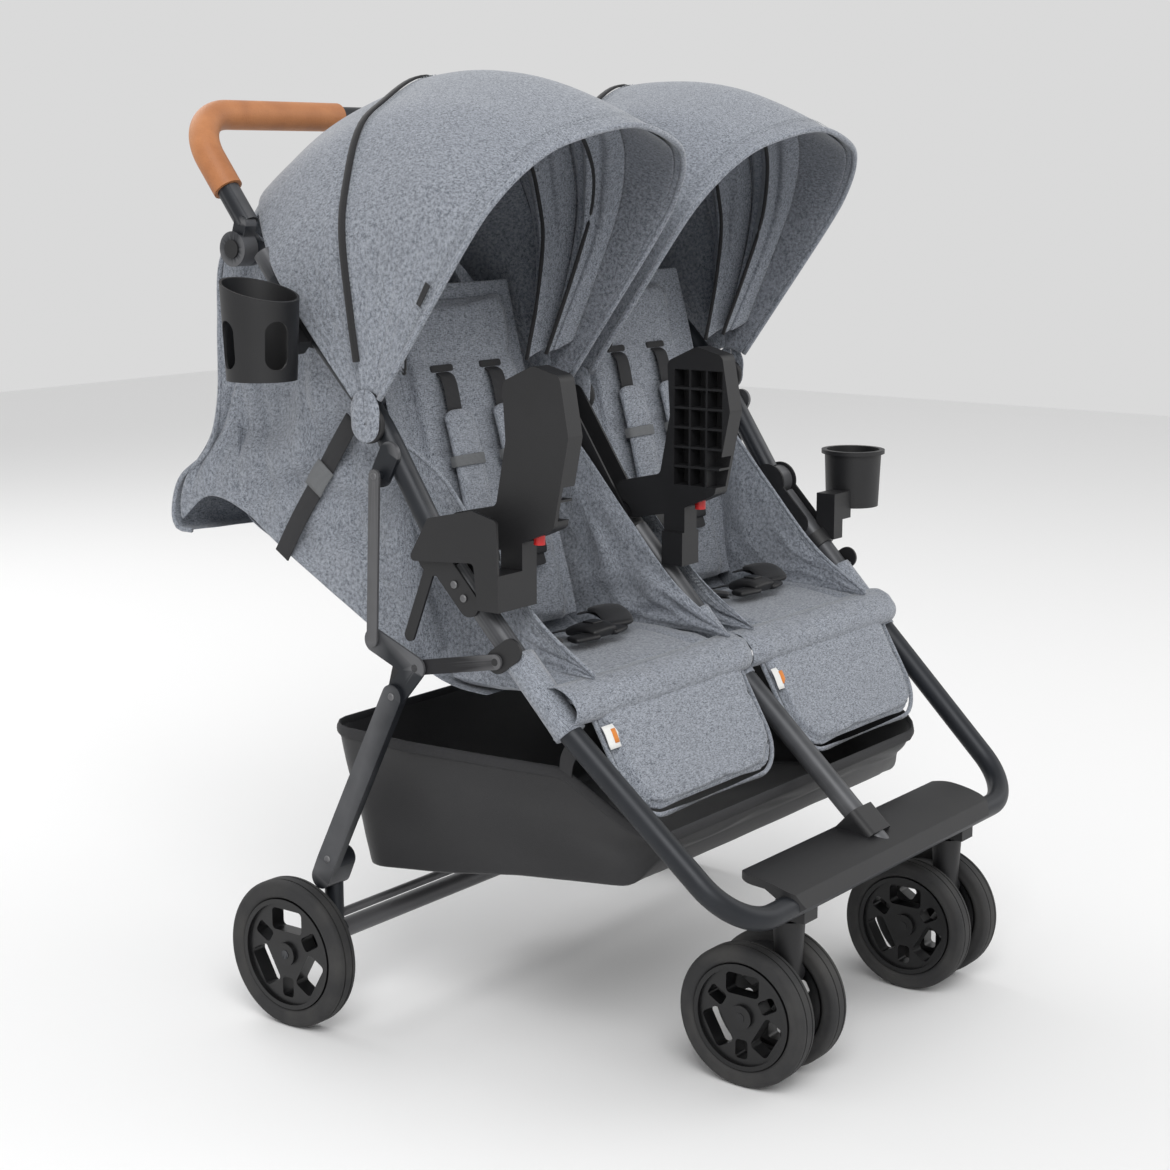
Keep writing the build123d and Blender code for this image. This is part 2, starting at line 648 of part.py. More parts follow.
# ---------------------------------------------------------------- seat backs and harness
BACK_HALF = 112.0
BACK_THICKNESS = 14.0
back_turn = math.radians(BACK_ANGLE)
for name, side in SIDES:
    back_plane = Plane(
        origin=(side * SEAT_X, *SEAT_BITE),
        x_dir=(1, 0, 0),
        z_dir=(0, -math.sin(back_turn), math.cos(back_turn)),
    )
    with BuildPart() as seat_back:
        with BuildSketch(back_plane):
            with Locations((0, BACK_LENGTH / 2 + 2)):
                RectangleRounded(2 * BACK_HALF, BACK_LENGTH, 20)
        extrude(amount=-BACK_THICKNESS)
        pin(side, (SEAT_X - BACK_HALF + 20, SEAT_X + BACK_HALF - 20), (13.5, 428.5), 6)
    save(seat_back, f"{name}_seat_back")

    with BuildPart() as harness:
        with BuildSketch(back_plane.offset(0.3)):
            with Locations((-42, 210), (42, 210)):
                Rectangle(24, 160)
            with Locations((0, 40)):
                Rectangle(180, 24)
        extrude(amount=2.5)
        with BuildSketch(back_plane.offset(2.8)):
            with Locations((-42, 240), (42, 240)):
                RectangleRounded(46, 120, 10)
        extrude(amount=7)
    save(harness, f"{name}_harness")

with BuildPart() as crotch_buckles:
    with BuildSketch(Plane.XY.offset(SEAT_TOP + 3.2)):
        with Locations((-SEAT_X, -84), (SEAT_X, -84)):
            RectangleRounded(44, 56, 10)
    extrude(amount=14)
save(crotch_buckles, "crotch_buckles")

# ---------------------------------------------------------------- seat bars, fold links, rear legs
LEG_WIDTH = 26.0
FOOT_TUBE = (329.0, 140.0)          # X, Y of the upright tube below each leg
for name, side in SIDES:
    low, thickness = layer(side, SEAT_BAR_LAYER)
    with BuildPart() as seat_bar:
        with BuildSketch(side_plane(low)):
            bar_shape(BAR_FRONT, BAR_REAR, 16)
        extrude(amount=thickness)
        pin(side, SEAT_BAR_LAYER, BAR_FRONT, PIN_R + RUNNING, Mode.SUBTRACT)
        pin(side, (SEAT_BAR_LAYER[0], LEG_PLATE_LAYER[1] + 0.2), BAR_REAR, PIN_R)
    save(seat_bar, f"{name}_seat_bar")

    low, thickness = layer(side, LINK_LAYER)
    with BuildPart() as fold_link:
        with BuildSketch(side_plane(low)):
            bar_shape(LINK_TOP, LINK_LOW, 14)
        extrude(amount=thickness)
        pin(side, LINK_LAYER, LINK_TOP, PIN_R + RUNNING, Mode.SUBTRACT)
    save(fold_link, f"{name}_fold_link")

    with BuildPart() as rear_leg:
        low, thickness = layer(side, LEG_PLATE_LAYER)
        with BuildSketch(side_plane(low)):
            bar_shape(BAR_REAR, LINK_LOW, LEG_WIDTH)
            bar_shape(BAR_REAR, LEG_TOP, LEG_WIDTH)
        extrude(amount=thickness)
        pin(side, LEG_PLATE_LAYER, BAR_REAR, PIN_R + RUNNING, Mode.SUBTRACT)
        low, thickness = layer(side, LEG_LAYER)
        with BuildSketch(side_plane(low)):
            bar_shape(LEG_TOP, LEG_FOOT, LEG_WIDTH)
        extrude(amount=thickness)
        low, thickness = layer(side, (BRACKET_X[0], LEG_LAYER[1]))
        with BuildSketch(side_plane(low)):
            bar_shape(LEG_FOOT, (138, 172), LEG_WIDTH)
        extrude(amount=thickness)
        with BuildSketch(Plane.XY.offset(88)):
            with Locations((side * FOOT_TUBE[0], FOOT_TUBE[1])):
                Circle(10.5)
        extrude(amount=82)
        low, thickness = layer(side, BRACKET_X)
        with BuildSketch(side_plane(low)):
            bar_shape(AXLE_TUBE, REAR_AXLE, 34)
        extrude(amount=thickness)
        pin(side, (BRACKET_X[1], REAR_WHEEL_X[1] - 0.5), REAR_AXLE, 5)
    save(rear_leg, f"{name}_rear_leg")

CROSS_HALF = BRACKET_X[0] - 0.1
with BuildPart() as rear_cross_tubes:
    pin(1, (-CROSS_HALF, CROSS_HALF), AXLE_TUBE, 11)
    pin(1, (-CROSS_HALF, CROSS_HALF), AXLE_TUBE, 9.5, Mode.SUBTRACT)
    pin(1, (-CROSS_HALF, CROSS_HALF), BRAKE_ROD, 5)
save(rear_cross_tubes, "rear_cross_tubes")

with BuildPart() as brake_pedal:
    pin(1, (-22, 22), BRAKE_ROD, 8)
    with BuildSketch(side_plane(-36)) as tread:
        Polygon((145, 121), (158, 128), (194, 119), (194, 113), (158, 120), (146, 116), align=None)
    extrude(amount=72)
    pin(1, (-37, 37), BRAKE_ROD, 5 + RUNNING, Mode.SUBTRACT)
save(brake_pedal, "brake_pedal")

# ---------------------------------------------------------------- swivelling front wheels
FORK_HALF = 14.0
FRONT_AXLE = (CASTER_Y + TRAIL, FRONT_WHEEL_R)
BORE_R = 5 + RUNNING
for name, side in SIDES:
    middle = side * CASTER_X
    with BuildPart() as caster_fork:
        for height, radius in ((104, 13), (178, 17)):
            with BuildSketch(Plane(origin=(middle, CASTER_Y, height))):
                Circle(radius)
        loft()
        with BuildSketch(Plane(origin=(middle, CASTER_Y, 178))):
            Circle(5)
        extrude(amount=12.5)
        with BuildSketch(side_plane(middle - FORK_HALF)):
            bar_shape((CASTER_Y, 118), FRONT_AXLE, 24)
        extrude(amount=2 * FORK_HALF)
        with BuildSketch(side_plane(middle - FORK_HALF)):
            with Locations(FRONT_AXLE):
                Circle(66)
                Circle(61, mode=Mode.SUBTRACT)
            with BuildLine():
                Polyline(
                    FRONT_AXLE,
                    (FRONT_AXLE[0] - 30, FRONT_AXLE[1] + 90),
                    (FRONT_AXLE[0] + 60, FRONT_AXLE[1] + 90),
                    (FRONT_AXLE[0] + 90, FRONT_AXLE[1] + 30),
                    close=True,
                )
            make_face(mode=Mode.INTERSECT)
        extrude(amount=2 * FORK_HALF)
        pin(1, (middle - 46, middle + 46), FRONT_AXLE, 5)
    save(caster_fork, f"{name}_caster_fork")


def tyre_ring(low, width, axle, outer, inner):
    """Rounded tyre round an axle, with two tread grooves."""
    wheel_plane = Plane(origin=(low + width / 2, *axle), x_dir=(1, 0, 0), z_dir=(0, -1, 0))
    with BuildSketch(wheel_plane) as profile:
        with Locations((0, (outer + inner) / 2)):
            RectangleRounded(width, outer - inner, 6.5)
        with Locations((-5.5, outer), (5.5, outer)):
            Rectangle(2, 3, mode=Mode.SUBTRACT)
    revolve(profile.sketch, Axis((0, *axle), (1, 0, 0)))


def rim_disc(low, width, axle, outer):
    """Rim with three wide and three narrow openings and a through bore."""
    pin(1, (low + 1, low + width - 1), axle, outer)
    with BuildSketch(side_plane(low)) as openings:
        with Locations(axle):
            with PolarLocations(outer * 0.6, 3, start_angle=90):
                RectangleRounded(outer * 0.4, outer * 0.7, 5)
            with PolarLocations(outer * 0.62, 3, start_angle=30):
                RectangleRounded(outer * 0.36, outer * 0.26, 4)
    extrude(openings.sketch, amount=width, mode=Mode.SUBTRACT)
    for start in (low, low + width - 5):
        with BuildSketch(side_plane(start)) as dish:
            with Locations(axle):
                Circle(outer - 5)
                Circle(13, mode=Mode.SUBTRACT)
        extrude(dish.sketch, amount=5, mode=Mode.SUBTRACT)
    pin(1, (low, low + width), axle, BORE_R, Mode.SUBTRACT)


RIM_SHARE = 0.75                    # rim radius over the wheel radius
front_low = {
    "left_outer": -CASTER_X - FRONT_WHEEL_INNER - FRONT_WHEEL_WIDTH,
    "left_inner": -CASTER_X + FRONT_WHEEL_INNER,
    "right_inner": CASTER_X - FRONT_WHEEL_INNER - FRONT_WHEEL_WIDTH,
    "right_outer": CASTER_X + FRONT_WHEEL_INNER,
}
for name, low in front_low.items():
    with BuildPart() as front_tyre:
        tyre_ring(low, FRONT_WHEEL_WIDTH, FRONT_AXLE, FRONT_WHEEL_R, FRONT_WHEEL_R * RIM_SHARE + 0.05)
    save(front_tyre, f"{name}_front_tyre")
    with BuildPart() as front_rim:
        rim_disc(low, FRONT_WHEEL_WIDTH, FRONT_AXLE, FRONT_WHEEL_R * RIM_SHARE)
    save(front_rim, f"{name}_front_rim")

REAR_WHEEL_WIDTH = REAR_WHEEL_X[1] - REAR_WHEEL_X[0]
for name, side in SIDES:
    low, width = layer(side, REAR_WHEEL_X)
    with BuildPart() as rear_tyre:
        tyre_ring(low, REAR_WHEEL_WIDTH, REAR_AXLE, REAR_WHEEL_R, REAR_WHEEL_R * RIM_SHARE + 0.05)
    save(rear_tyre, f"{name}_rear_tyre")
    with BuildPart() as rear_rim:
        rim_disc(low, REAR_WHEEL_WIDTH, REAR_AXLE, REAR_WHEEL_R * RIM_SHARE)
    save(rear_rim, f"{name}_rear_rim")
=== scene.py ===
import json
import math

import bmesh
import bpy
import numpy as np
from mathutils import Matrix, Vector, noise


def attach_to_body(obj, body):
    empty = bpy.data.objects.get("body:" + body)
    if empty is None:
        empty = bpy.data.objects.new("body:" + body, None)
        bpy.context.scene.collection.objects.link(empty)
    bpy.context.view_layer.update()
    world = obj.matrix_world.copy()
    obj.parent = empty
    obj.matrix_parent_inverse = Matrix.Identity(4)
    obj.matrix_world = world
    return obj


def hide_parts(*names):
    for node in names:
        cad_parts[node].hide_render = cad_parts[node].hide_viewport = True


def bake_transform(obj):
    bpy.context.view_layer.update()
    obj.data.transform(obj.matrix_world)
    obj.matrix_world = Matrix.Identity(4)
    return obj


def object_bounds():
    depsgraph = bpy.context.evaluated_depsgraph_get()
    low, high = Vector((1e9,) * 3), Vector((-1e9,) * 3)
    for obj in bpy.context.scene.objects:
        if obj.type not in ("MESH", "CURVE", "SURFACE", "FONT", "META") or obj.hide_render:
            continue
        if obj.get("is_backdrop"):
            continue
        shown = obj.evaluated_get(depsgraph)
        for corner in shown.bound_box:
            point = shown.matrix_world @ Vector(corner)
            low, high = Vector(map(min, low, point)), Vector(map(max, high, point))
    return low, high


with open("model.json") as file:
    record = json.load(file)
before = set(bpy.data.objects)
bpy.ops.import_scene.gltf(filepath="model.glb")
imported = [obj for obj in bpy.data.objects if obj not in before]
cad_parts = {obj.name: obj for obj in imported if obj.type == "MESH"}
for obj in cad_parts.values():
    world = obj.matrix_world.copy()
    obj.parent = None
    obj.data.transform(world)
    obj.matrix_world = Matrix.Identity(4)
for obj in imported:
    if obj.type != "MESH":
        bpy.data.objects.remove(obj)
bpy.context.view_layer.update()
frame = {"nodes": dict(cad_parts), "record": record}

# ------------------------------------------------------------------ sizes of the stroller, metres
CANOPY_X = 0.184
PIVOT = (0.062, 0.678)              # Y, Z of the canopy pivots
HUB = (-0.022, 0.549)
KNEE = (-0.172, 0.391)
FRAME_X = 0.325
SEAT_X = 0.1625
SEAT_BITE = (0.005, 0.425)
BACK_ANGLE = math.radians(75)
FLAP_ANGLE = math.radians(60)
FLAP_PIVOT = (-0.192, 0.397)
FLAP_X = 0.1605
REAR_EDGE, ZIP_EDGE, RIM_EDGE = 51.0, 81.5, 126.0
SIDES = (("left", -1), ("right", 1))


# ------------------------------------------------------------------ shader helpers
class Value:
    """A shader socket that takes part in plain arithmetic."""

    def __init__(self, finish, socket):
        self.finish = finish
        self.socket = socket

    def math(self, operation, *others):
        settings = {"operation": operation}
        return self.finish.make("ShaderNodeMath", settings, dict(enumerate((self, *others))))

    def __add__(self, other):
        return self.math("ADD", other)

    def __mul__(self, other):
        return self.math("MULTIPLY", other)

    def __sub__(self, other):
        return self.math("SUBTRACT", other)

    def __rsub__(self, other):
        return self.finish.make("ShaderNodeMath", {"operation": "SUBTRACT"}, {0: other, 1: self})

    __radd__ = __add__
    __rmul__ = __mul__


class Finish:
    """A material that is built from expressions on Object coordinates."""

    def __init__(self, name):
        self.material = bpy.data.materials.new(name)
        self.material.use_nodes = True
        self.tree = self.material.node_tree
        self.tree.nodes.clear()
        self.place = self.make("ShaderNodeTexCoord", output="Object")

    def make(self, kind, settings=None, values=None, output=0):
        """Add a node: settings first, then the values or links of its sockets."""
        node = self.tree.nodes.new(kind)
        for name, setting in (settings or {}).items():
            if name == "ramp":
                stops = node.color_ramp.elements
                while len(stops) < len(setting):
                    stops.new(0.5)
                for stop, (position, colour) in zip(stops, setting):
                    stop.position = position
                    stop.color = (*colour, 1) if len(colour) == 3 else colour
            else:
                setattr(node, name, setting)
        for name, value in (values or {}).items():
            if isinstance(value, Value):
                self.tree.links.new(value.socket, node.inputs[name])
            else:
                node.inputs[name].default_value = value
        return Value(self, node.outputs[output]) if node.outputs else None

    def noise(self, scale, stretch=(1, 1, 1), detail=2.0, roughness=0.5):
        spot = self.make("ShaderNodeMapping", None, {"Vector": self.place, "Scale": stretch})
        values = {"Vector": spot, "Scale": scale, "Detail": detail, "Roughness": roughness}
        return self.make("ShaderNodeTexNoise", None, values)

    def ramp(self, factor, *stops):
        """Turn a value into a number or colour between stops."""
        full = [(at, (c, c, c) if isinstance(c, (int, float)) else c) for at, c in stops]
        return self.make("ShaderNodeValToRGB", {"ramp": full}, {"Fac": factor})

    def blend(self, factor, first, second):
        pick = {0: factor, 6: first, 7: second}
        for key in (6, 7):
            if not isinstance(pick[key], Value):
                pick[key] = (*pick[key], 1)
        return self.make("ShaderNodeMix", {"data_type": "RGBA"}, pick, output=2)

    def bump(self, height, distance, strength=1.0):
        values = {"Height": height, "Distance": distance, "Strength": strength}
        return self.make("ShaderNodeBump", None, values)

    def surface(self, **values):
        """Close the material with a Principled shader."""
        named = {name.replace("_", " "): value for name, value in values.items()}
        for key, value in named.items():
            if isinstance(value, tuple) and len(value) == 3:
                named[key] = (*value, 1)
        shader = self.make("ShaderNodeBsdfPrincipled", None, named)
        self.make("ShaderNodeOutputMaterial", None, {"Surface": shader})
        return self.material


def heather_cloth(name, dark, light, depth=0.00035):
    """Two tone woven cloth: short dark and light threads that cross each other."""
    f = Finish(name)
    weft = f.noise(1.0, (230, 1300, 1300), 1.5)
    warp = f.noise(1.0, (1300, 260, 260), 1.5)
    fine = f.noise(1500, detail=0)
    mottle = f.noise(14, detail=3)
    thread = weft * 0.5 + warp * 0.38 + fine * 0.12
    shade = f.ramp(
        thread, (0.38, dark), (0.47, [d * 0.55 + l * 0.45 for d, l in zip(dark, light)]),
        (0.62, light),
    )
    worn = f.blend(f.ramp(mottle, (0.35, 0), (0.7, 0.22)), shade, [c * 0.62 for c in light])
    weave = weft + warp
    return f.surface(
        Base_Color=worn,
        Roughness=0.86 + mottle * 0.1,
        Sheen_Weight=0.25,
        Sheen_Roughness=0.5,
        Normal=f.bump(weave, depth, 0.55),
    )


def plain_cloth(name, colour, lift=2.0, roughness=0.75, stretch=(1, 1, 1)):
    f = Finish(name)
    weave = f.noise(1100, stretch, 1)
    patch = f.noise(9, detail=4)
    pale = [c * lift for c in colour]
    shade = f.blend(f.ramp(weave * 0.6 + patch * 0.4, (0.35, 0), (0.7, 1)), colour, pale)
    return f.surface(
        Base_Color=shade,
        Roughness=roughness + patch * 0.15,
        Sheen_Weight=0.12,
        Normal=f.bump(weave + patch * 0.8, 0.0005, 0.5),
    )


def webbing_cloth(name, colour):
    """Ribbed strap webbing."""
    f = Finish(name)
    rib = f.make(
        "ShaderNodeTexWave",
        {"wave_type": "BANDS", "bands_direction": "Z"},
        {"Vector": f.place, "Scale": 260, "Distortion": 0.6, "Detail": 1},
    )
    fuzz = f.noise(900, detail=1)
    shade = f.blend(rib * 0.7 + fuzz * 0.3, [c * 0.5 for c in colour], [c * 1.7 for c in colour])
    return f.surface(Base_Color=shade, Roughness=0.7, Normal=f.bump(rib + fuzz * 0.4, 0.0005, 0.6))


def coated_metal(name, colour, edge=(0.30, 0.30, 0.31)):
    """Powder coat: fine orange peel, dust in patches and rubbed edges."""
    f = Finish(name)
    peel = f.noise(1400, detail=1)
    dust = f.noise(24, detail=5)
    edges = f.make("ShaderNodeNewGeometry", output="Pointiness")
    rubbed = f.ramp(edges + dust * 0.05, (0.56, 0), (0.64, 0.35))
    coat = f.blend(f.ramp(dust, (0.4, 0), (0.75, 0.5)), colour, [c * 1.6 + 0.002 for c in colour])
    return f.surface(
        Base_Color=f.blend(rubbed, coat, edge),
        Metallic=0.35,
        Roughness=0.34 + dust * 0.2,
        Normal=f.bump(peel, 0.0002, 0.25),
    )


def moulded_plastic(name, colour, roughness=0.5, grain=0.0002):
    f = Finish(name)
    pebble = f.make("ShaderNodeTexVoronoi", None, {"Vector": f.place, "Scale": 900})
    dust = f.noise(18, detail=5)
    coat = f.blend(f.ramp(dust, (0.4, 0), (0.8, 0.6)), colour, [c * 1.6 + 0.001 for c in colour])
    return f.surface(
        Base_Color=coat,
        Roughness=roughness - 0.06 + dust * 0.14,
        Normal=f.bump(pebble, grain, 0.35),
    )


def tan_leather():
    f = Finish("tan_leather")
    cells = f.make(
        "ShaderNodeTexVoronoi", None, {"Vector": f.place, "Scale": 520, "Randomness": 0.9},
    )
    pores = f.noise(700, detail=3)
    patch = f.noise(22, detail=4)
    shade = f.ramp(
        patch, (0.3, (0.36, 0.135, 0.048)), (0.55, (0.47, 0.19, 0.072)), (0.75, (0.55, 0.24, 0.10)),
    )
    worn = f.blend(f.ramp(cells, (0.0, 0.35), (0.35, 0.0)), shade, (0.25, 0.09, 0.03))
    return f.surface(
        Base_Color=worn,
        Roughness=0.45 + patch * 0.2,
        Normal=f.bump(cells + pores * 0.5, 0.0004, 0.5),
    )


def tyre_foam():
    """Matt tyre with a fine grain in its skin and dust in patches."""
    f = Finish("tyre_foam")
    skin = f.noise(600, detail=3)
    dust = f.noise(20, detail=4)
    shade = f.blend(
        f.ramp(dust, (0.4, 0), (0.75, 0.7)), (0.022, 0.022, 0.023), (0.06, 0.058, 0.055),
    )
    return f.surface(
        Base_Color=shade, Roughness=0.72 + dust * 0.15, Normal=f.bump(skin, 0.0004, 0.5),
    )


CLOTH = heather_cloth("heather_cloth", (0.055, 0.064, 0.082), (0.35, 0.375, 0.42))
# The same heather cloth made darker for the canopy's inner sheet: painted shade, as the inside is the same cloth
# lying in shadow.
PAINTED_SHADE_CLOTH = heather_cloth("heather_lining", (0.045, 0.053, 0.068), (0.30, 0.32, 0.36))
PIPING = plain_cloth("black_piping", (0.008, 0.008, 0.009))
NYLON = plain_cloth("black_nylon", (0.006, 0.006, 0.007), lift=2.2, roughness=0.5)
WEBBING = webbing_cloth("black_webbing", (0.02, 0.02, 0.022))
GREY_WEBBING = webbing_cloth("grey_webbing", (0.13, 0.135, 0.14))
METAL = coated_metal("graphite_coat", (0.013, 0.015, 0.019))
STEEL = coated_metal("black_coat", (0.010, 0.010, 0.012))
RIVET = coated_metal("bare_rivet", (0.10, 0.10, 0.105), (0.5, 0.5, 0.5))
PLASTIC = moulded_plastic("black_plastic", (0.008, 0.008, 0.009))
RIM = moulded_plastic("rim_plastic", (0.004, 0.004, 0.0045), 0.36, 0.0001)
RED = moulded_plastic("red_plastic", (0.42, 0.012, 0.012), 0.4)
LEATHER = tan_leather()
TYRE = tyre_foam()
THREAD = plain_cloth("grey_thread", (0.24, 0.26, 0.28), 1.4)
TAG = plain_cloth("white_tag", (0.70, 0.70, 0.68), 1.1)
TAG_BAR = plain_cloth("orange_tag", (0.62, 0.20, 0.03), 1.1)

SLOT_FINISH = {
    "frame": METAL,
    "plastic": PLASTIC,
    "cloth": CLOTH,
    "basket": NYLON,
    "webbing": WEBBING,
    "grip": LEATHER,
    "tyre": TYRE,
    "rim": RIM,
    "steel": STEEL,
    "red": RED,
}
for entry in frame["record"]["subparts"]:
    node = frame["nodes"][entry["node"]]
    for place in node.material_slots:
        place.material = SLOT_FINISH[entry["material_slot"]]
    if not node.material_slots:
        node.data.materials.append(SLOT_FINISH[entry["material_slot"]])


# ------------------------------------------------------------------ mesh helpers
def add_mesh(name, points, faces, material, smooth=True):
    mesh = bpy.data.meshes.new(name)
    mesh.from_pydata([tuple(map(float, p)) for p in points], [], faces)
    mesh.materials.append(material)
    mesh.polygons.foreach_set("use_smooth", [smooth] * len(mesh.polygons))
    piece = bpy.data.objects.new(name, mesh)
    bpy.context.scene.collection.objects.link(piece)
    return piece


def face_out(piece, outward):
    """Turn a sheet's faces so that most of them look along the outward direction or from a point."""
    mesh = piece.data
    centre = np.array(outward(None)) if callable(outward) else None
    total = 0.0
    for face in mesh.polygons:
        way = Vector(outward) if centre is None else face.center - Vector(centre)
        total += face.normal.dot(way) * face.area
    if total < 0:
        mesh.flip_normals()
    mesh.update()
    return piece


def grid_sheet(name, grid, material, thickness=0.0022, outward=(0, 0, 1), levels=1):
    """Cloth sheet from rows of points, given its thickness inwards and one subdivision."""
    rows, columns = grid.shape[:2]
    faces = []
    for i in range(rows - 1):
        for j in range(columns - 1):
            a = i * columns + j
            faces.append((a, a + 1, a + columns + 1, a + columns))
    piece = add_mesh(name, grid.reshape(-1, 3), faces, material)
    face_out(piece, outward)
    wall = piece.modifiers.new("wall", "SOLIDIFY")
    wall.thickness = thickness
    wall.offset = -1
    if levels:
        smooth = piece.modifiers.new("smooth", "SUBSURF")
        smooth.levels = smooth.render_levels = levels
    return piece


def sweep_along(name, line, section, material, up=(0, 0, 1), closed=False):
    """Closed tube or strap: a section of (across, out) points carried along a line."""
    line = np.asarray(line, float)
    count, ring = len(line), len(section)
    points = []
    for i in range(count):
        ahead = line[min(i + 1, count - 1)] - line[max(i - 1, 0)]
        if closed:
            ahead = line[(i + 1) % count] - line[i - 1]
        ahead = ahead / (np.linalg.norm(ahead) or 1)
        guide = np.asarray(up(line[i]) if callable(up) else up, float)
        across = np.cross(ahead, guide)
        across = across / (np.linalg.norm(across) or 1)
        out = np.cross(across, ahead)
        points += [line[i] + across * a + out * b for a, b in section]
    faces = []
    for i in range(count if closed else count - 1):
        k = (i + 1) % count
        for j in range(ring):
            m = (j + 1) % ring
            faces.append((i * ring + j, i * ring + m, k * ring + m, k * ring + j))
    if not closed:
        faces.append(tuple(reversed(range(ring))))
        faces.append(tuple((count - 1) * ring + j for j in range(ring)))
    piece = add_mesh(name, points, faces, material)
    work = bmesh.new()
    work.from_mesh(piece.data)
    bmesh.ops.recalc_face_normals(work, faces=work.faces)
    work.to_mesh(piece.data)
    work.free()
    return piece


def round_section(radius, sides=10):
    turns = [2 * math.pi * k / sides for k in range(sides)]
    return [(radius * math.cos(t), radius * math.sin(t)) for t in turns]


def strap_section(width, thickness):
    w, t, c = width / 2, thickness / 2, thickness * 0.35
    return [
        (-w, -t + c), (-w + c, -t), (w - c, -t), (w, -t + c), (w, t - c), (w - c, t), (-w + c, t),
        (-w, t - c),
    ]


def smooth_line(points, steps=8):
    """Catmull-Rom line through the points."""
    p = np.asarray(points, float)
    p = np.vstack([2 * p[0] - p[1], p, 2 * p[-1] - p[-2]])
    out = []
    for i in range(1, len(p) - 2):
        for t in np.linspace(0, 1, steps, endpoint=False):
            a, b, c, d = p[i - 1], p[i], p[i + 1], p[i + 2]
            out.append(
                0.5 * (
                    2 * b + (c - a) * t + (
                        2 * a - 5 * b + 4 * c - d
                    ) * t * t + (3 * b - a - 3 * c + d) * t ** 3
                )
            )
    out.append(p[-2])
    return np.array(out)


def even_line(points, count):
    """The same line with evenly spaced points."""
    p = np.asarray(points, float)
    gap = np.linalg.norm(np.diff(p, axis=0), axis=1)
    at = np.concatenate([[0], np.cumsum(gap)])
    want = np.linspace(0, at[-1], count)
    return np.stack([np.interp(want, at, p[:, k]) for k in range(p.shape[1])], axis=1)


def soft_noise(x, y, z):
    return noise.noise(Vector((x, y, z)))


def corners_of(mesh, kind="co"):
    """Vertex places, or their normals, as rows."""
    flat = np.empty(len(mesh.vertices) * 3)
    mesh.vertices.foreach_get(kind, flat)
    return flat.reshape(-1, 3)


def move_corners(mesh, places):
    mesh.vertices.foreach_set("co", places.ravel())
    mesh.update()


def attach(piece, body):
    """Let a piece ride on a body."""
    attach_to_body(piece, body)
    return piece


def hang_between_frames(piece):
    """Cloth that the front frame holds below and the upper frame above; here only its transform is baked, and it
    rides on no body.
    """
    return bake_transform(piece)


def area_of(piece):
    return sum(face.area for face in piece.data.polygons)


def declare_sheet(piece, width):
    """Work out the flat cut's length from a sheet's area and width; the result is not kept and the piece comes
    back unchanged.
    """
    flat_area = area_of(piece)
    return (piece, flat_area / width)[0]


def join_pieces(name, pieces):
    """One object from several, with their materials kept."""
    work = bmesh.new()
    materials = []
    for piece in pieces:
        start = len(work.faces)
        work.from_mesh(piece.data)
        work.faces.ensure_lookup_table()
        material = piece.data.materials[0]
        if material not in materials:
            materials.append(material)
        for face in work.faces[start:]:
            face.material_index = materials.index(material)
        old = piece.data
        bpy.data.objects.remove(piece)
        bpy.data.meshes.remove(old)
    mesh = bpy.data.meshes.new(name)
    work.to_mesh(mesh)
    work.free()
    for material in materials:
        mesh.materials.append(material)
    joined = bpy.data.objects.new(name, mesh)
    bpy.context.scene.collection.objects.link(joined)
    return joined


# ------------------------------------------------------------------ repeated small parts
def small_shapes():
    """Stitch and rivet meshes that the scatter trees place."""
    stitch = bmesh.new()
    bmesh.ops.create_uvsphere(stitch, u_segments=6, v_segments=4, radius=1)
    bmesh.ops.scale(stitch, vec=(0.0004, 0.0016, 0.0004), verts=stitch.verts)
    rivet = bmesh.new()
    bmesh.ops.create_uvsphere(rivet, u_segments=14, v_segments=8, radius=1)
    bmesh.ops.scale(rivet, vec=(0.0042, 0.0042, 0.0018), verts=rivet.verts)
    made = []
    for name, work in (("stitch_shape", stitch), ("rivet_shape", rivet)):
        mesh = bpy.data.meshes.new(name)
        work.to_mesh(mesh)
        work.free()
        mesh.polygons.foreach_set("use_smooth", [True] * len(mesh.polygons))
        made.append(bpy.data.objects.new(name, mesh))
    return made


STITCH, RIVET_HEAD = small_shapes()


def new_tree(name, **inputs):
    """Empty geometry tree with named inputs."""
    tree = bpy.data.node_groups.new(name, "GeometryNodeTree")
    tree.interface.new_socket("Geometry", in_out="INPUT", socket_type="NodeSocketGeometry")
    for label, kind in inputs.items():
        tree.interface.new_socket(label, in_out="INPUT", socket_type=f"NodeSocket{kind}")
    tree.interface.new_socket("Geometry", in_out="OUTPUT", socket_type="NodeSocketGeometry")
    return tree, tree.nodes.new("NodeGroupInput")


def place_shapes(tree, given, points, axis, facing):
    """Put the shape on the points, turned to face a way, then realize and paint it."""
    nodes, link = tree.nodes, tree.links.new
    shape = nodes.new("GeometryNodeObjectInfo")
    turn = nodes.new("FunctionNodeAlignRotationToVector")
    turn.axis = axis
    place = nodes.new("GeometryNodeInstanceOnPoints")
    real = nodes.new("GeometryNodeRealizeInstances")
    paint = nodes.new("GeometryNodeSetMaterial")
    result = nodes.new("NodeGroupOutput")
    link(given.outputs["Shape"], shape.inputs["Object"])
    link(points, place.inputs["Points"])
    link(shape.outputs["Geometry"], place.inputs["Instance"])
    link(facing, turn.inputs["Vector"])
    link(turn.outputs["Rotation"], place.inputs["Rotation"])
    link(place.outputs["Instances"], real.inputs["Geometry"])
    link(real.outputs["Geometry"], paint.inputs["Geometry"])
    link(given.outputs["Material"], paint.inputs["Material"])
    link(paint.outputs["Geometry"], result.inputs["Geometry"])
    return tree


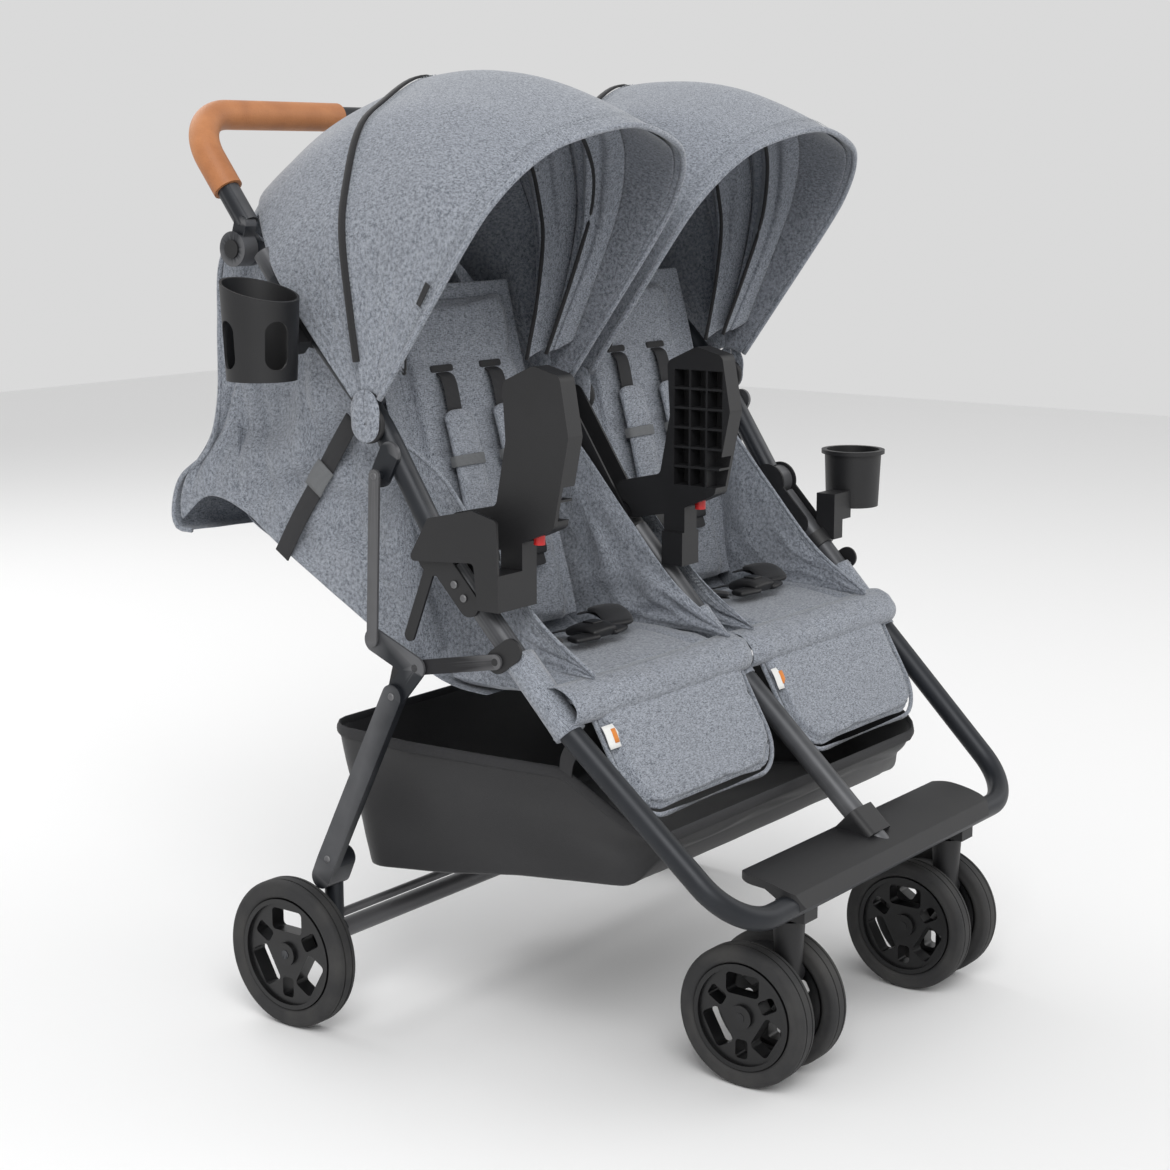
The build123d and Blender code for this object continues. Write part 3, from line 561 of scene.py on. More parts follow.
def stitch_tree():
    """Evenly spaced stitches along a line, which is resampled at the pitch."""
    tree, given = new_tree(
        "stitches_along_line", Pitch="Float", Shape="Object", Material="Material",
    )
    nodes, link = tree.nodes, tree.links.new
    curve = nodes.new("GeometryNodeMeshToCurve")
    even = nodes.new("GeometryNodeResampleCurve")
    even.mode = "LENGTH"
    along = nodes.new("GeometryNodeInputTangent")
    link(given.outputs["Geometry"], curve.inputs["Mesh"])
    link(curve.outputs["Curve"], even.inputs["Curve"])
    link(given.outputs["Pitch"], even.inputs["Length"])
    return place_shapes(tree, given, even.outputs["Curve"], "Y", along.outputs["Tangent"])


STITCH_TREE = stitch_tree()


def run_tree(name, tree, mesh, inputs):
    """Run a geometry tree on a mesh and keep the result as a plain mesh."""
    holder = bpy.data.objects.new(name, mesh)
    bpy.context.scene.collection.objects.link(holder)
    modifier = holder.modifiers.new("tree", "NODES")
    modifier.node_group = tree
    for item in tree.interface.items_tree:
        if item.in_out == "INPUT" and item.name in inputs:
            modifier[item.identifier] = inputs[item.name]
    bpy.context.view_layer.update()
    graph = bpy.context.evaluated_depsgraph_get()
    made = bpy.data.meshes.new_from_object(holder.evaluated_get(graph), depsgraph=graph)
    holder.modifiers.clear()
    holder.data = made
    made.name = name
    return holder


def stitches(name, lines, body, material=THREAD, pitch=0.0042):
    """Rows of stitches along lines of points."""
    mesh = bpy.data.meshes.new(name)
    points, edges = [], []
    for line in lines:
        first = len(points)
        points += [tuple(map(float, p)) for p in line]
        edges += [(first + k, first + k + 1) for k in range(len(line) - 1)]
    mesh.from_pydata(points, edges, [])
    piece = run_tree(
        name, STITCH_TREE, mesh, {"Pitch": pitch, "Shape": STITCH, "Material": material},
    )
    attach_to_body(piece, body)
    return piece


def rivet_tree():
    """Domed rivet heads on points, each lying against its point's normal."""
    tree, given = new_tree("rivets_on_points", Shape="Object", Material="Material")
    normal = tree.nodes.new("GeometryNodeInputNamedAttribute")
    normal.data_type = "FLOAT_VECTOR"
    normal.inputs["Name"].default_value = "facing"
    return place_shapes(tree, given, given.outputs["Geometry"], "Z", normal.outputs["Attribute"])


RIVET_TREE = rivet_tree()


def rivets(name, places, body, material=RIVET):
    """Rivet heads at (point, facing) places on one body."""
    mesh = bpy.data.meshes.new(name)
    mesh.from_pydata([tuple(point) for point, _ in places], [], [])
    facing = mesh.attributes.new("facing", "FLOAT_VECTOR", "POINT")
    facing.data.foreach_set("vector", [c for _, way in places for c in way])
    piece = run_tree(name, RIVET_TREE, mesh, {"Shape": RIVET_HEAD, "Material": material})
    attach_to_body(piece, body)
    return piece


# ------------------------------------------------------------------ canopies
REAR_BOW = ((0, 357), (74, 327), (112, 300), (140, 248), (157, 196), (161, 120), (161, 34))
BACK_BOW = (
    (0, 361.5), (76, 331.5), (115.5, 304), (144.5, 251), (162, 198), (165.5, 120), (165.5, 34),
)
MIDDLE_BOW = ((0, 370), (84, 345), (123, 317), (150, 271), (163.5, 220), (165.5, 120), (165.5, 34))
RIM_BOW = ((0, 378), (92, 358), (132, 331), (156, 290), (165, 240), (165.5, 120), (165.5, 34))
BOW_COUNT = 81


def bow_line(points):
    """Whole bow from the left foot over the crown to the right foot, metres."""
    right = [(a / 1000, o / 1000) for a, o in points]
    left = [(-a, o) for a, o in reversed(right[1:])]
    return even_line(smooth_line(left + right, 10), BOW_COUNT)


BOWS = {name: bow_line(points) for name, points in
        (("rear", REAR_BOW), ("back", BACK_BOW), ("middle", MIDDLE_BOW), ("rim", RIM_BOW))}


def front_bow(degrees):
    """Bow of the moving panel at an angle, between its rear edge and its rim."""
    t = (degrees - ZIP_EDGE) / (RIM_EDGE - ZIP_EDGE)
    a, b, c = BOWS["back"], BOWS["middle"], BOWS["rim"]
    middle = 0.505
    wa = (t - middle) * (t - 1) / middle
    wb = t * (t - 1) / (middle * (middle - 1))
    wc = t * (t - middle) / (1 - middle)
    return a * wa + b * wb + c * wc


def on_bow(side, degrees, across, out):
    turn = math.radians(degrees)
    return (
        side * CANOPY_X + across, PIVOT[0] + out * math.cos(turn), PIVOT[1] + out * math.sin(turn),
    )


def canopy_point(side, degrees, across, out, puff):
    """Canopy surface with soft folds that run down to the pivots, moved inwards by at most the puff."""
    foot = max(0.0, 1 - out / 0.30)
    crown = min(1.0, out / 0.12)
    fan = degrees * 0.55 + side * 7
    fold = soft_noise(fan, across * 9, side * 3.0)
    slack = soft_noise(degrees * 0.07, across * 14, out * 9 + side)
    inward = (0.55 + 0.45 * fold) * foot * 1.3 + (0.5 + 0.5 * slack) * 0.55
    shift = puff * inward * crown
    scale = 1 - shift / max(math.hypot(across, out), 0.05)
    return on_bow(side, degrees, across * scale, out * scale)


def canopy_grid(side, low, high, count, bow_at, puff, inset=0.0):
    rows = []
    for degrees in np.linspace(low, high, count):
        bow = bow_at(degrees)
        middle = (degrees - low) / (high - low)
        slack = puff * math.sin(math.pi * middle) ** 0.6
        row = []
        for across, out in bow:
            pull = inset / max(math.hypot(across, out), 0.05)
            row.append(canopy_point(side, degrees, across * (1 - pull), out * (1 - pull), slack))
        rows.append(row)
    return np.array(rows)


for name, side in SIDES:
    centre = (side * CANOPY_X, PIVOT[0], PIVOT[1])

    front = canopy_grid(side, ZIP_EDGE + 0.2, RIM_EDGE - 0.2, 42, front_bow, 0.0065)
    panel = grid_sheet(f"{name}_canopy_front_cloth", front, CLOTH, 0.0022, lambda _: centre)
    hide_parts(f"{name}_canopy_front")
    attach(panel, f"{name}_canopy_front")
    declare_sheet(panel, 0.95)

    rear = canopy_grid(side, REAR_EDGE - 3.0, ZIP_EDGE + 1.2, 26, lambda _: BOWS["rear"], 0.0055)
    panel = grid_sheet(f"{name}_canopy_rear_cloth", rear, CLOTH, 0.0022, lambda _: centre)
    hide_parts(f"{name}_canopy_rear")
    attach(panel, "upper_frame")
    declare_sheet(panel, 0.90)

    # binding round the rim, with a soft wire edge
    rim = [on_bow(side, RIM_EDGE + 0.1, a, o) for a, o in BOWS["rim"]]
    band = sweep_along(
        f"{name}_rim_binding", rim, round_section(0.0034, 10), CLOTH, up=(0, -0.8, -0.6),
    )
    attach(band, f"{name}_canopy_front")

    # zip along the rear edge of the moving panel
    zip_bow = [on_bow(side, ZIP_EDGE - 0.2, a * 1.006, o * 1.006) for a, o in BOWS["back"][3:-3]]
    tape = sweep_along(
        f"{name}_canopy_zip",
        zip_bow,
        strap_section(0.0095, 0.0028),
        PIPING,
        up=lambda p: (p[0] - centre[0], p[1] - centre[1], p[2] - centre[2]),
    )
    attach(tape, f"{name}_canopy_front")

    # double rows of stitches beside the zip and the rim
    rows = []
    for degrees in (ZIP_EDGE + 1.6, ZIP_EDGE + 2.3, RIM_EDGE - 2.9, RIM_EDGE - 3.6):
        rows.append(
            [on_bow(side, degrees, a * 1.001, o * 1.001) for a, o in front_bow(degrees)[6:-6]]
        )
    stitches(f"{name}_canopy_stitches", rows, f"{name}_canopy_front", pitch=0.0048)


# ------------------------------------------------------------------ padded seats, backs and flaps
def keep_shape(piece):
    """Turn a piece's modifiers into plain mesh."""
    bpy.context.view_layer.update()
    graph = bpy.context.evaluated_depsgraph_get()
    made = bpy.data.meshes.new_from_object(piece.evaluated_get(graph), depsgraph=graph)
    piece.modifiers.clear()
    piece.data = made
    return piece


def plump(name, node, voxel, cap, shrink, force):
    """Blow a flat pad up under cloth pressure, with a limit on how far a point moves."""
    work = bmesh.new()
    work.from_mesh(frame["nodes"][node].data)
    bmesh.ops.remove_doubles(work, verts=work.verts, dist=1e-5)
    mesh = bpy.data.meshes.new(name)
    work.to_mesh(mesh)
    work.free()
    pad = bpy.data.objects.new(name, mesh)
    bpy.context.scene.collection.objects.link(pad)
    skin = pad.modifiers.new("skin", "REMESH")
    skin.mode = "VOXEL"
    skin.voxel_size = voxel
    keep_shape(pad)
    start = corners_of(pad.data) - corners_of(pad.data, "normal") * shrink
    move_corners(pad.data, start)
    cloth = pad.modifiers.new("cloth", "CLOTH")
    cloth.settings.quality = 6
    cloth.settings.use_pressure = True
    cloth.settings.uniform_pressure_force = force
    cloth.settings.effector_weights.gravity = 0
    cloth.point_cache.frame_start, cloth.point_cache.frame_end = 1, 20
    for step in range(1, 21):
        bpy.context.scene.frame_set(step)
    keep_shape(pad)
    bpy.context.scene.frame_set(1)
    move = corners_of(pad.data) - start
    far = np.linalg.norm(move, axis=1, keepdims=True)
    move *= np.minimum(1.0, cap / np.maximum(far, 1e-9))
    move_corners(pad.data, (start + move))
    return pad


def sew(pad, lines, depth, width):
    """Pull a pad in along sewn lines."""
    at, way = corners_of(pad.data), corners_of(pad.data, "normal")
    path = []
    for line in lines:
        length = np.linalg.norm(np.diff(line, axis=0), axis=1).sum()
        path.append(even_line(line, max(2, int(length / 0.003))))
    path = np.vstack(path)
    near = np.full(len(at), 1.0)
    for first in range(0, len(path), 60):
        gap = np.linalg.norm(at[:, None] - path[None, first:first + 60], axis=2).min(axis=1)
        near = np.minimum(near, gap)
    at -= way * (depth * np.exp(-((near / width) ** 2)))[:, None]
    move_corners(pad.data, at)


def finish_pad(pad, node, body):
    pad.data.materials.clear()
    pad.data.materials.append(CLOTH)
    pad.data.polygons.foreach_set("use_smooth", [True] * len(pad.data.polygons))
    pad.data.polygons.foreach_set("material_index", [0] * len(pad.data.polygons))
    smooth = pad.modifiers.new("smooth", "SUBSURF")
    smooth.levels = smooth.render_levels = 1
    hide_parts(node)
    attach(pad, body)


def mirrored(pad, name):
    """The same pad on the right side."""
    mesh = pad.data.copy()
    mesh.name = name
    at = corners_of(mesh)
    at[:, 0] *= -1
    mesh.vertices.foreach_set("co", at.ravel())
    mesh.flip_normals()
    other = bpy.data.objects.new(name, mesh)
    bpy.context.scene.collection.objects.link(other)
    return other


def on_back(side, across, up, out=0.0):
    """Point on the front face of a seat back, or out from it."""
    y = SEAT_BITE[0] + up * math.cos(BACK_ANGLE) - out * math.sin(BACK_ANGLE)
    z = SEAT_BITE[1] + up * math.sin(BACK_ANGLE) + out * math.cos(BACK_ANGLE)
    return (side * SEAT_X + across, y, z)


def on_flap(side, across, down, out=0.0):
    """Point on the outer face of a calf flap."""
    y = FLAP_PIVOT[0] - down * math.cos(FLAP_ANGLE) - out * math.sin(FLAP_ANGLE)
    z = FLAP_PIVOT[1] - down * math.sin(FLAP_ANGLE) + out * math.cos(FLAP_ANGLE)
    return (side * FLAP_X + across, y, z)


def flap_border(side, inset, out):
    """Line inside a calf flap's edge, round its two lower corners."""
    half, length, corner = 0.138 - inset, 0.122 - inset, 0.048 - inset * 0.8
    line = [(-half, 0.004)]
    for centre, start in (
        ((-half + corner, length - corner), 180), ((half - corner, length - corner), 90),
    ):
        for k in range(9):
            turn = math.radians(start - 90 * k / 8)
            line.append((centre[0] + corner * math.cos(turn), centre[1] + corner * math.sin(turn)))
    line.append((half, 0.004))
    return np.array([on_flap(side, a, d, out) for a, d in line])


seat_seams = [
    np.array([(-0.296, -0.172, 0.424), (-0.16, -0.181, 0.424), (-0.027, -0.172, 0.424)]),
    np.array([(-0.262, -0.168, 0.426), (-0.262, -0.02, 0.426)]),
    np.array([(-0.061, -0.168, 0.426), (-0.061, -0.02, 0.426)]),
]
back_seams = [
    np.array([on_back(-1, -0.100, up), on_back(-1, 0.100, up)])
    for up in (0.085, 0.215, 0.320)
]
back_seams += [np.array([on_back(-1, a, 0.02), on_back(-1, a, 0.38)]) for a in (-0.094, 0.094)]

seat_pad = plump("left_seat_cushion", "left_seat_base", 0.005, 0.007, 0.003, 4.0)
sew(seat_pad, seat_seams, 0.0060, 0.0055)
back_pad = plump("left_back_cushion", "left_seat_back", 0.005, 0.008, 0.003, 4.0)
sew(back_pad, back_seams, 0.0055, 0.006)
flap_pad = plump("left_flap_cushion", "left_calf_flap", 0.004, 0.005, 0.0008, 3.0)
sew(flap_pad, [flap_border(-1, 0.009, 0.0035)], 0.0040, 0.0034)
for pad, part, fill in (
    (seat_pad, "seat_base", 0.6), (back_pad, "seat_back", 0.6), (flap_pad, "calf_flap", 0.5),
):
    other = mirrored(pad, pad.name.replace("left", "right"))
    for piece, name in ((pad, "left"), (other, "right")):
        body = "front_frame" if part == "seat_base" else f"{name}_{part}"
        finish_pad(piece, f"{name}_{part}", body)

for name, side in SIDES:
    rows = [[(side * abs(p[0]), p[1] + 0.0025, 0.4285) for p in even_line(seat_seams[0], 30)]]
    stitches(f"{name}_seat_stitches", rows, "front_frame", pitch=0.0045)
    stitches(
        f"{name}_flap_stitches", [flap_border(side, 0.009, 0.0042)], f"{name}_calf_flap",
        pitch=0.0045,
    )
    # piping round the flap's edge and a tag in its upper corner
    edge = sweep_along(
        f"{name}_flap_piping", flap_border(side, -0.0008, 0.0), round_section(0.0026, 8), CLOTH,
        up=(1, 0, 0),
    )
    attach(edge, f"{name}_calf_flap")
    left_edge = -0.129 if side < 0 else -0.126
    tag = []
    for label, material, across, width, lift in (
        ("cloth", TAG, 0.0, 0.022, 0.0064), ("bar", TAG_BAR, 0.0035, 0.007, 0.0072),
    ):
        line = [
            on_flap(side, left_edge + across, 0.018 + 0.005 * k, lift + 0.0006 * math.sin(k))
            for k in range(6)
        ]
        if label == "bar":
            line = line[1:5]
        tag.append(
            sweep_along(
                f"{name}_tag_{label}", line, strap_section(width, 0.0009), material,
                up=(0, -math.sin(FLAP_ANGLE), math.cos(FLAP_ANGLE)),
            )
        )
    tag = join_pieces(f"{name}_flap_tag", tag)
    attach(tag, f"{name}_calf_flap")


# ------------------------------------------------------------------ seat front and back liner
ROLL = (
    (-.160, .4245), (-.176, .4262), (-.190, .4215), (-.2005, .4115), (-.2035, .4000),
    (-.1990, .3905), (-.1915, .3872),
)
for name, side in SIDES:
    profile = even_line(smooth_line(ROLL, 6), 24)
    rows = []
    for x in np.linspace(0.0006, 0.3306, 66):
        u = (x - 0.0006) / 0.330
        row = []
        for k, (y, z) in enumerate(profile):
            slack = 0.0012 * soft_noise(x * 40, k * 0.35, side)
            row.append((side * x, y - slack + 0.005 * abs(2 * u - 1) ** 12, z + slack))
        rows.append(row)
    roll = grid_sheet(f"{name}_seat_front_roll", np.array(rows), CLOTH, 0.0016, (0, -1, 0.3))
    declare_sheet(roll, 0.330)
    attach(roll, "front_frame")

    rows = []
    for a in np.linspace(-0.1365, 0.1150, 44):
        row = []
        for up in np.linspace(0.012, 0.405, 50):
            far = max(0.0, abs(a) - 0.088) / 0.05
            crease = soft_noise(a * 30, up * 9, side * 4.0)
            row.append(on_back(side, side * -a, up, -0.0075 + 0.006 * far + 0.004 * far * crease))
        rows.append(row)
    liner = grid_sheet(f"{name}_back_liner", np.array(rows), CLOTH, 0.0014, (0, -1, 0.2))
    declare_sheet(liner, 0.2515)
    attach(liner, f"{name}_seat_back")


# ------------------------------------------------------------------ cloth sides, rear curtain and sling
WALL_LOW = (
    (-.183, .4275), (-.10, .4270), (.008, .4080), (.085, .443), (.231, .524), (.289, .560),
    (.345, .572), (.390, .540),
)
WALL_TOP = (
    (-.183, .429), (-.11, .478), (-.04, .553), (.04, .642), (.092, .668), (.170, .767),
    (.246, .864), (.298, .868),
)
CURTAIN = (
    (.309, .845), (.318, .770), (.322, .684), (.343, .626), (.388, .590), (.402, .552),
    (.396, .532), (.374, .530),
)
SLING = (
    (-.060, .3960), (-.020, .3985), (.015, .4080), (.050, .428), (.085, .443), (.160, .481),
    (.231, .524), (.289, .556), (.298, .600), (.300, .660),
)


def wall_reach(y):
    return 0.2803 + 0.0245 * min(1.0, max(0.0, (y - 0.014) / 0.046))


def fold_depth(side, t, s, count):
    """Soft folds across a hanging wall, from 0 to 1."""
    drift = soft_noise(t * 5, s * 2.2, side * 3.1)
    fine = soft_noise(t * 17 + s * 4, s * 5, side * 1.7)
    wave = 1 - abs(math.sin(math.pi * (count * t + 0.9 * s + 0.7 * drift + 0.2 * side)))
    crease = 1 - min(1.0, abs(soft_noise(t * 9 - s * 3, s * 2.5 + 7, side * 2.3)) * 4)
    return min(1.0, max(0.0, 0.70 * wave + 0.35 * crease + 0.25 * fine))


def hood_wall(side, inner):
    low, top = smooth_line(WALL_LOW, 11), smooth_line(WALL_TOP, 11)
    rear = even_line(smooth_line(CURTAIN[:6], 6)[::-1], 40)
    rows = []
    for k, (a, b) in enumerate(zip(low, top)):
        t = k / (len(low) - 1)
        row = []
        for m in range(40):
            s = m / 39
            y, z = a[0] + (b[0] - a[0]) * s, a[1] + (b[1] - a[1]) * s
            follow = max(0.0, (t - 0.6) / 0.4) ** 1.5
            straight_y = low[-1][0] + (top[-1][0] - low[-1][0]) * s
            straight_z = low[-1][1] + (top[-1][1] - low[-1][1]) * s
            y += follow * (rear[m][0] - straight_y) * math.sin(math.pi * s) ** 0.35
            z += follow * (rear[m][1] - straight_z) * math.sin(math.pi * s) ** 0.35 * 0.5
            swing = math.sin(math.pi * s) ** 0.7 * math.sin(math.pi * min(1, t * 1.02)) ** 0.4
            if inner:
                x = 0.0233 + 0.012 * fold_depth(side * 2, t, s, 5.5) * swing
            else:
                most = 0.0060 + 0.0160 * min(1.0, max(0.0, (y - 0.03) / 0.10))
                x = wall_reach(y) - most * fold_depth(side, t, s, 7.5) * swing
            row.append((side * x, y, z))
        rows.append(row)
    return np.array(rows)


def curtain_grid(side):
    rows = []
    for x in np.linspace(0.0245, 0.3035, 64):
        across = abs(x - CANOPY_X)
        bow = BOWS["rear"][BOW_COUNT // 2:]
        out = max(0.255, float(np.interp(across, bow[:, 0], bow[:, 1]))) - 0.003
        turn = math.radians(REAR_EDGE - 2.5)
        start = (PIVOT[0] + out * math.cos(turn), PIVOT[1] + out * math.sin(turn))
        line = even_line(smooth_line((start, *CURTAIN), 8), 60)
        row = []
        for k, (y, z) in enumerate(line):
            s = k / 59
            u = (x - 0.0245) / 0.279
            edge = math.sin(math.pi * u) ** 0.5 * min(1.0, 4 * s)
            wave = 0.5 + 0.5 * math.sin(
                2 * math.pi * (5 * u + 0.35 * soft_noise(u * 4, s * 3, side))
            )
            sag = 0.006 * edge * (wave - 0.4) * min(1.0, 3 * (1 - s) + 0.4)
            dip = 0.010 * math.sin(math.pi * u) * max(0.0, s - 0.55)
            row.append((side * x, y - sag, z - dip))
        rows.append(row)
    return np.array(rows)


def sling_grid(side):
    rows = []
    line = even_line(smooth_line(SLING, 8), 44)
    for x in np.linspace(0.0245, 0.3020, 48):
        u = (x - 0.0245) / 0.2775
        row = []
        for k, (y, z) in enumerate(line):
            s = k / 43
            belly = math.sin(math.pi * u) * math.sin(math.pi * min(1.0, s * 1.2)) if s < 0.83 else 0
            crease = soft_noise(u * 6, s * 7, side * 2.0) * 0.004
            row.append((side * x, y + crease * 0.5, z + abs(crease) * belly))
        rows.append(row)
    return np.array(rows)


for name, side in SIDES:
    curtain = curtain_grid(side)
    corners = []
    for label, column in (("inner", curtain[0]), ("outer", curtain[-1])):
        shift = np.array([side * (-0.0004 if label == "inner" else 0.0008), 0.0004, 0])
        corners.append(
            sweep_along(
                f"{name}_{label}_curtain_piping", column[1:] + shift, round_section(0.0030, 8),
                CLOTH, up=(side, 0, 0),
            )
        )
    edge = join_pieces(f"{name}_curtain_piping", corners)
    hang_between_frames(edge)
    walls = [
        ("outer", hood_wall(side, False), (side, 0, 0), CLOTH),
        ("inner", hood_wall(side, True), (-side, 0, 0), CLOTH),
        ("curtain", curtain, (0, 1, 0.2), CLOTH),
        ("sling", sling_grid(side), (0, 0.5, -0.8), CLOTH),
    ]
    for label, grid, outward, material in walls:
        wall = grid_sheet(f"{name}_hood_{label}", grid, material, 0.0018, outward)
        declare_sheet(wall, 0.60 if label in ("outer", "inner") else 0.28)
        keep_shape(wall)
        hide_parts(f"{name}_seat_hood")
        hang_between_frames(wall)


# ------------------------------------------------------------------ canopy lining, drapes, hubs and label
TIP_OUTER, TIP_INNER = 0.3502, 0.0180     # planes of the cloth tips over the pivots
TIP_DOME = 0.0022                         # how far a tip bulges


def slack_in_canopy(piece):
    """Cloth inside a canopy, which bunches up between the fixed panel and the moving rim; here only its
    modifiers are applied and its transform baked, and it rides on no body.
    """
    keep_shape(piece)
    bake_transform(piece)


for name, side in SIDES:
    centre = (side * CANOPY_X, PIVOT[0], PIVOT[1])
    lining = canopy_grid(side, ZIP_EDGE + 1.5, RIM_EDGE - 1.2, 26, front_bow, 0.002, inset=0.0055)
    # The lining sheet takes the darker heather copy, which paints the shade inside the canopy.
    piece = grid_sheet(f"{name}_canopy_lining", lining, PAINTED_SHADE_CLOTH, 0.0012, lambda _: centre)
    piece.data.flip_normals()
    piece.modifiers["wall"].offset = 1
    declare_sheet(piece, 0.93)
    slack_in_canopy(piece)

    # gathered drapes that hang from the crown down to each pivot
    for number, (low, high, depth) in enumerate(((84, 99, 0.052), (100, 113, 0.034))):
        rows = []
        for k, degrees in enumerate(np.linspace(low, high, 18)):
            v = k / 17
            row = []
            bow = front_bow(degrees)[4:-4]
            for m, (a, o) in enumerate(bow):
                u = m / (len(bow) - 1)
                reach = math.hypot(a, o)
                pleat = math.sin(
                    2 * math.pi * (2.5 * v + 0.4 * soft_noise(u * 6, v * 2, side + number * 5))
                )
                fall = math.sin(math.pi * v) ** 0.8
                side_fall = 0.35 + 0.65 * (1 - math.sin(math.pi * u)) ** 0.7
                pull = 0.009 + fall * (depth * side_fall + 0.007 * pleat)
                row.append(on_bow(side, degrees, a * (1 - pull / reach), o * (1 - pull / reach)))
            rows.append(row)
        grid = np.array(rows)
        drape = grid_sheet(
            f"{name}_canopy_drape_{number + 1}", grid, CLOTH, 0.0012, lambda _: centre,
        )
        drape.data.flip_normals()
        drape.modifiers["wall"].offset = 1
        declare_sheet(drape, 0.85)
        slack_in_canopy(drape)
        edge = sweep_along(
            f"{name}_drape_piping_{number + 1}", grid[9], round_section(0.0024, 8), PIPING,
            up=(0, -0.3, 1),
        )
        slack_in_canopy(edge)

    for place, way in ((side * TIP_OUTER, side), (side * TIP_INNER, -side)):
        rows = []
        for turn in np.linspace(90, 450, 57):
            toward = max(0.0, math.cos(math.radians(turn - 90)))
            reach = 0.0195 + 0.0175 * toward ** 2.2
            row = []
            for v in np.linspace(0.03, 1, 12):
                out = reach * v
                dome = place + way * TIP_DOME * math.sin(math.pi * v)
                across = PIVOT[0] + out * math.cos(math.radians(turn))
                row.append((dome, across, PIVOT[1] + out * math.sin(math.radians(turn))))
            rows.append(row)
        hand = "outer" if way == side else "inner"
        lobe = grid_sheet(f"{name}_canopy_tip_{hand}", np.array(rows), CLOTH, 0.0018, (way, 0, 0))
        declare_sheet(lobe, 0.08)
        attach(lobe, f"{name}_canopy_front")
        start = np.array([place - way * 0.0062, *PIVOT])
        line = [
            start + np.array([way * d, 0, 0])
            for d in (-0.0035, -0.0022, 0.0012, 0.0030, 0.0034)
        ]
        hub = sweep_along(f"{name}_hub_{hand}", line, round_section(1.0, 32), PLASTIC, up=(0, 0, 1))
        at = corners_of(hub.data)
        for ring, radius in enumerate((0.0185, 0.0205, 0.0205, 0.0175, 0.0095)):
            block = at[ring * 32:(ring + 1) * 32]
            middle = line[ring]
            block[:] = middle + (block - middle) * radius
        move_corners(hub.data, at)
        attach(hub, f"{name}_canopy_front")

label_line = [on_bow(-1, 120.0 + 0.32 * k, -0.1672, 0.160) for k in range(8)]
label = sweep_along("canopy_label", label_line, strap_section(0.026, 0.0012), NYLON, up=(-1, 0, 0))
attach(label, "left_canopy_front")


# ------------------------------------------------------------------ basket
BASKET_RIM = ((-.262, .268), (-.222, .288), (-.150, .325), (-.06, .322), (.06, .319), (.186, .322))
BASKET_FLOOR = (
    (-.245, .240), (-.232, .214), (-.080, .197), (.02, .180), (.136, .166), (.150, .172),
)


def height_on(line, y):
    return float(np.interp(y, [p[0] for p in line], [p[1] for p in line]))


def basket_plan(count, half_x=0.290, half_y=0.224, corner=0.038):
    """Rounded rectangle of evenly spaced points, as shares of its half sizes."""
    line = []
    for k, (sx, sy) in enumerate(((1, 1), (-1, 1), (-1, -1), (1, -1))):
        for m in range(9):
            turn = math.radians(90 * k + 90 * m / 8)
            line.append(
                (
                    sx * (half_x - corner) + corner * math.cos(turn),
                    sy * (half_y - corner) + corner * math.sin(turn),
                )
            )
    line = even_line(line + line[:1], count + 1)[:-1]
    return line / np.array([half_x, half_y])


def basket_shell():
    around, down, inward = 144, 22, 14
    plan = basket_plan(around)
    points, faces = [], []
    for k in range(down + inward):
        for m in range(around):
            x, y = plan[m]
            if k < down:
                v = k / (down - 1)
                half = 0.290 - 0.010 * v ** 2
                front = -0.262 + 0.016 * v ** 1.5
                back = 0.186 - 0.038 * v ** 1.3
                px = half * x
                py = (front + back) / 2 + (back - front) / 2 * y
                top, low = height_on(BASKET_RIM, py), height_on(BASKET_FLOOR, py) - 0.001
                crease = soft_noise(px * 9, py * 9, v * 2.5)
                slack = math.sin(math.pi * v) ** 0.8
                pull = 1 - slack * (0.020 + 0.036 * crease)
                px, py = px * pull, py * (1 - slack * 0.012 * (1 + crease))
                pz = top + (low - top) * v ** 0.92
                pz -= 0.006 * slack * math.sin(math.pi * v) * (0.5 + 0.5 * math.sin(0.4 * m))
            else:
                w = 1 - (k - down + 1) / (inward + 1)
                px = 0.280 * x * w
                py = -0.049 + 0.197 * y * w
                pz = height_on(BASKET_FLOOR, py) + 0.002 * soft_noise(px * 14, py * 14, 3)
                pz += 0.002 * (1 - w)
            points.append((px, py, pz))
    for k in range(down + inward - 1):
        for m in range(around):
            n = (m + 1) % around
            faces.append(
                (k * around + m, k * around + n, (k + 1) * around + n, (k + 1) * around + m)
            )
    last = (down + inward - 1) * around
    points.append((0, -0.049, height_on(BASKET_FLOOR, -0.049) + 0.004))
    faces += [(last + m, last + (m + 1) % around, len(points) - 1) for m in range(around)]
    shell = add_mesh("basket_cloth", points, faces, NYLON)
    return face_out(shell, lambda _: (0, -0.04, 0.27)), [points[m] for m in range(around)]


basket, basket_rim = basket_shell()
wall = basket.modifiers.new("wall", "SOLIDIFY")
wall.thickness, wall.offset = 0.0018, -1
smooth = basket.modifiers.new("smooth", "SUBSURF")
smooth.levels = smooth.render_levels = 1
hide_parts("basket")
attach(basket, "front_frame")
turns = np.linspace(0, 2 * math.pi, 10, endpoint=False)
tape = [(0.0022 * math.cos(t), 0.0065 * math.sin(t)) for t in turns]
binding = sweep_along("basket_binding", basket_rim, tape, WEBBING, closed=True)
attach(binding, "front_frame")
for name, side in SIDES:
    for label, line in (
        (
            "front",
            (
                (side * 0.286, -0.150, 0.318), (side * 0.302, -0.165, 0.345),
                (side * 0.310, -0.186, 0.372),
            ),
        ),
        (
            "rear",
            (
                (side * 0.287, 0.100, 0.316), (side * 0.291, 0.085, 0.360),
                (side * 0.296, 0.062, 0.430),
            ),
        ),
    ):
        strap = sweep_along(
            f"{name}_basket_strap_{label}", smooth_line(line, 6), strap_section(0.018, 0.0016),
            WEBBING, up=(side, 0, 0),
        )
        attach(strap, "front_frame")


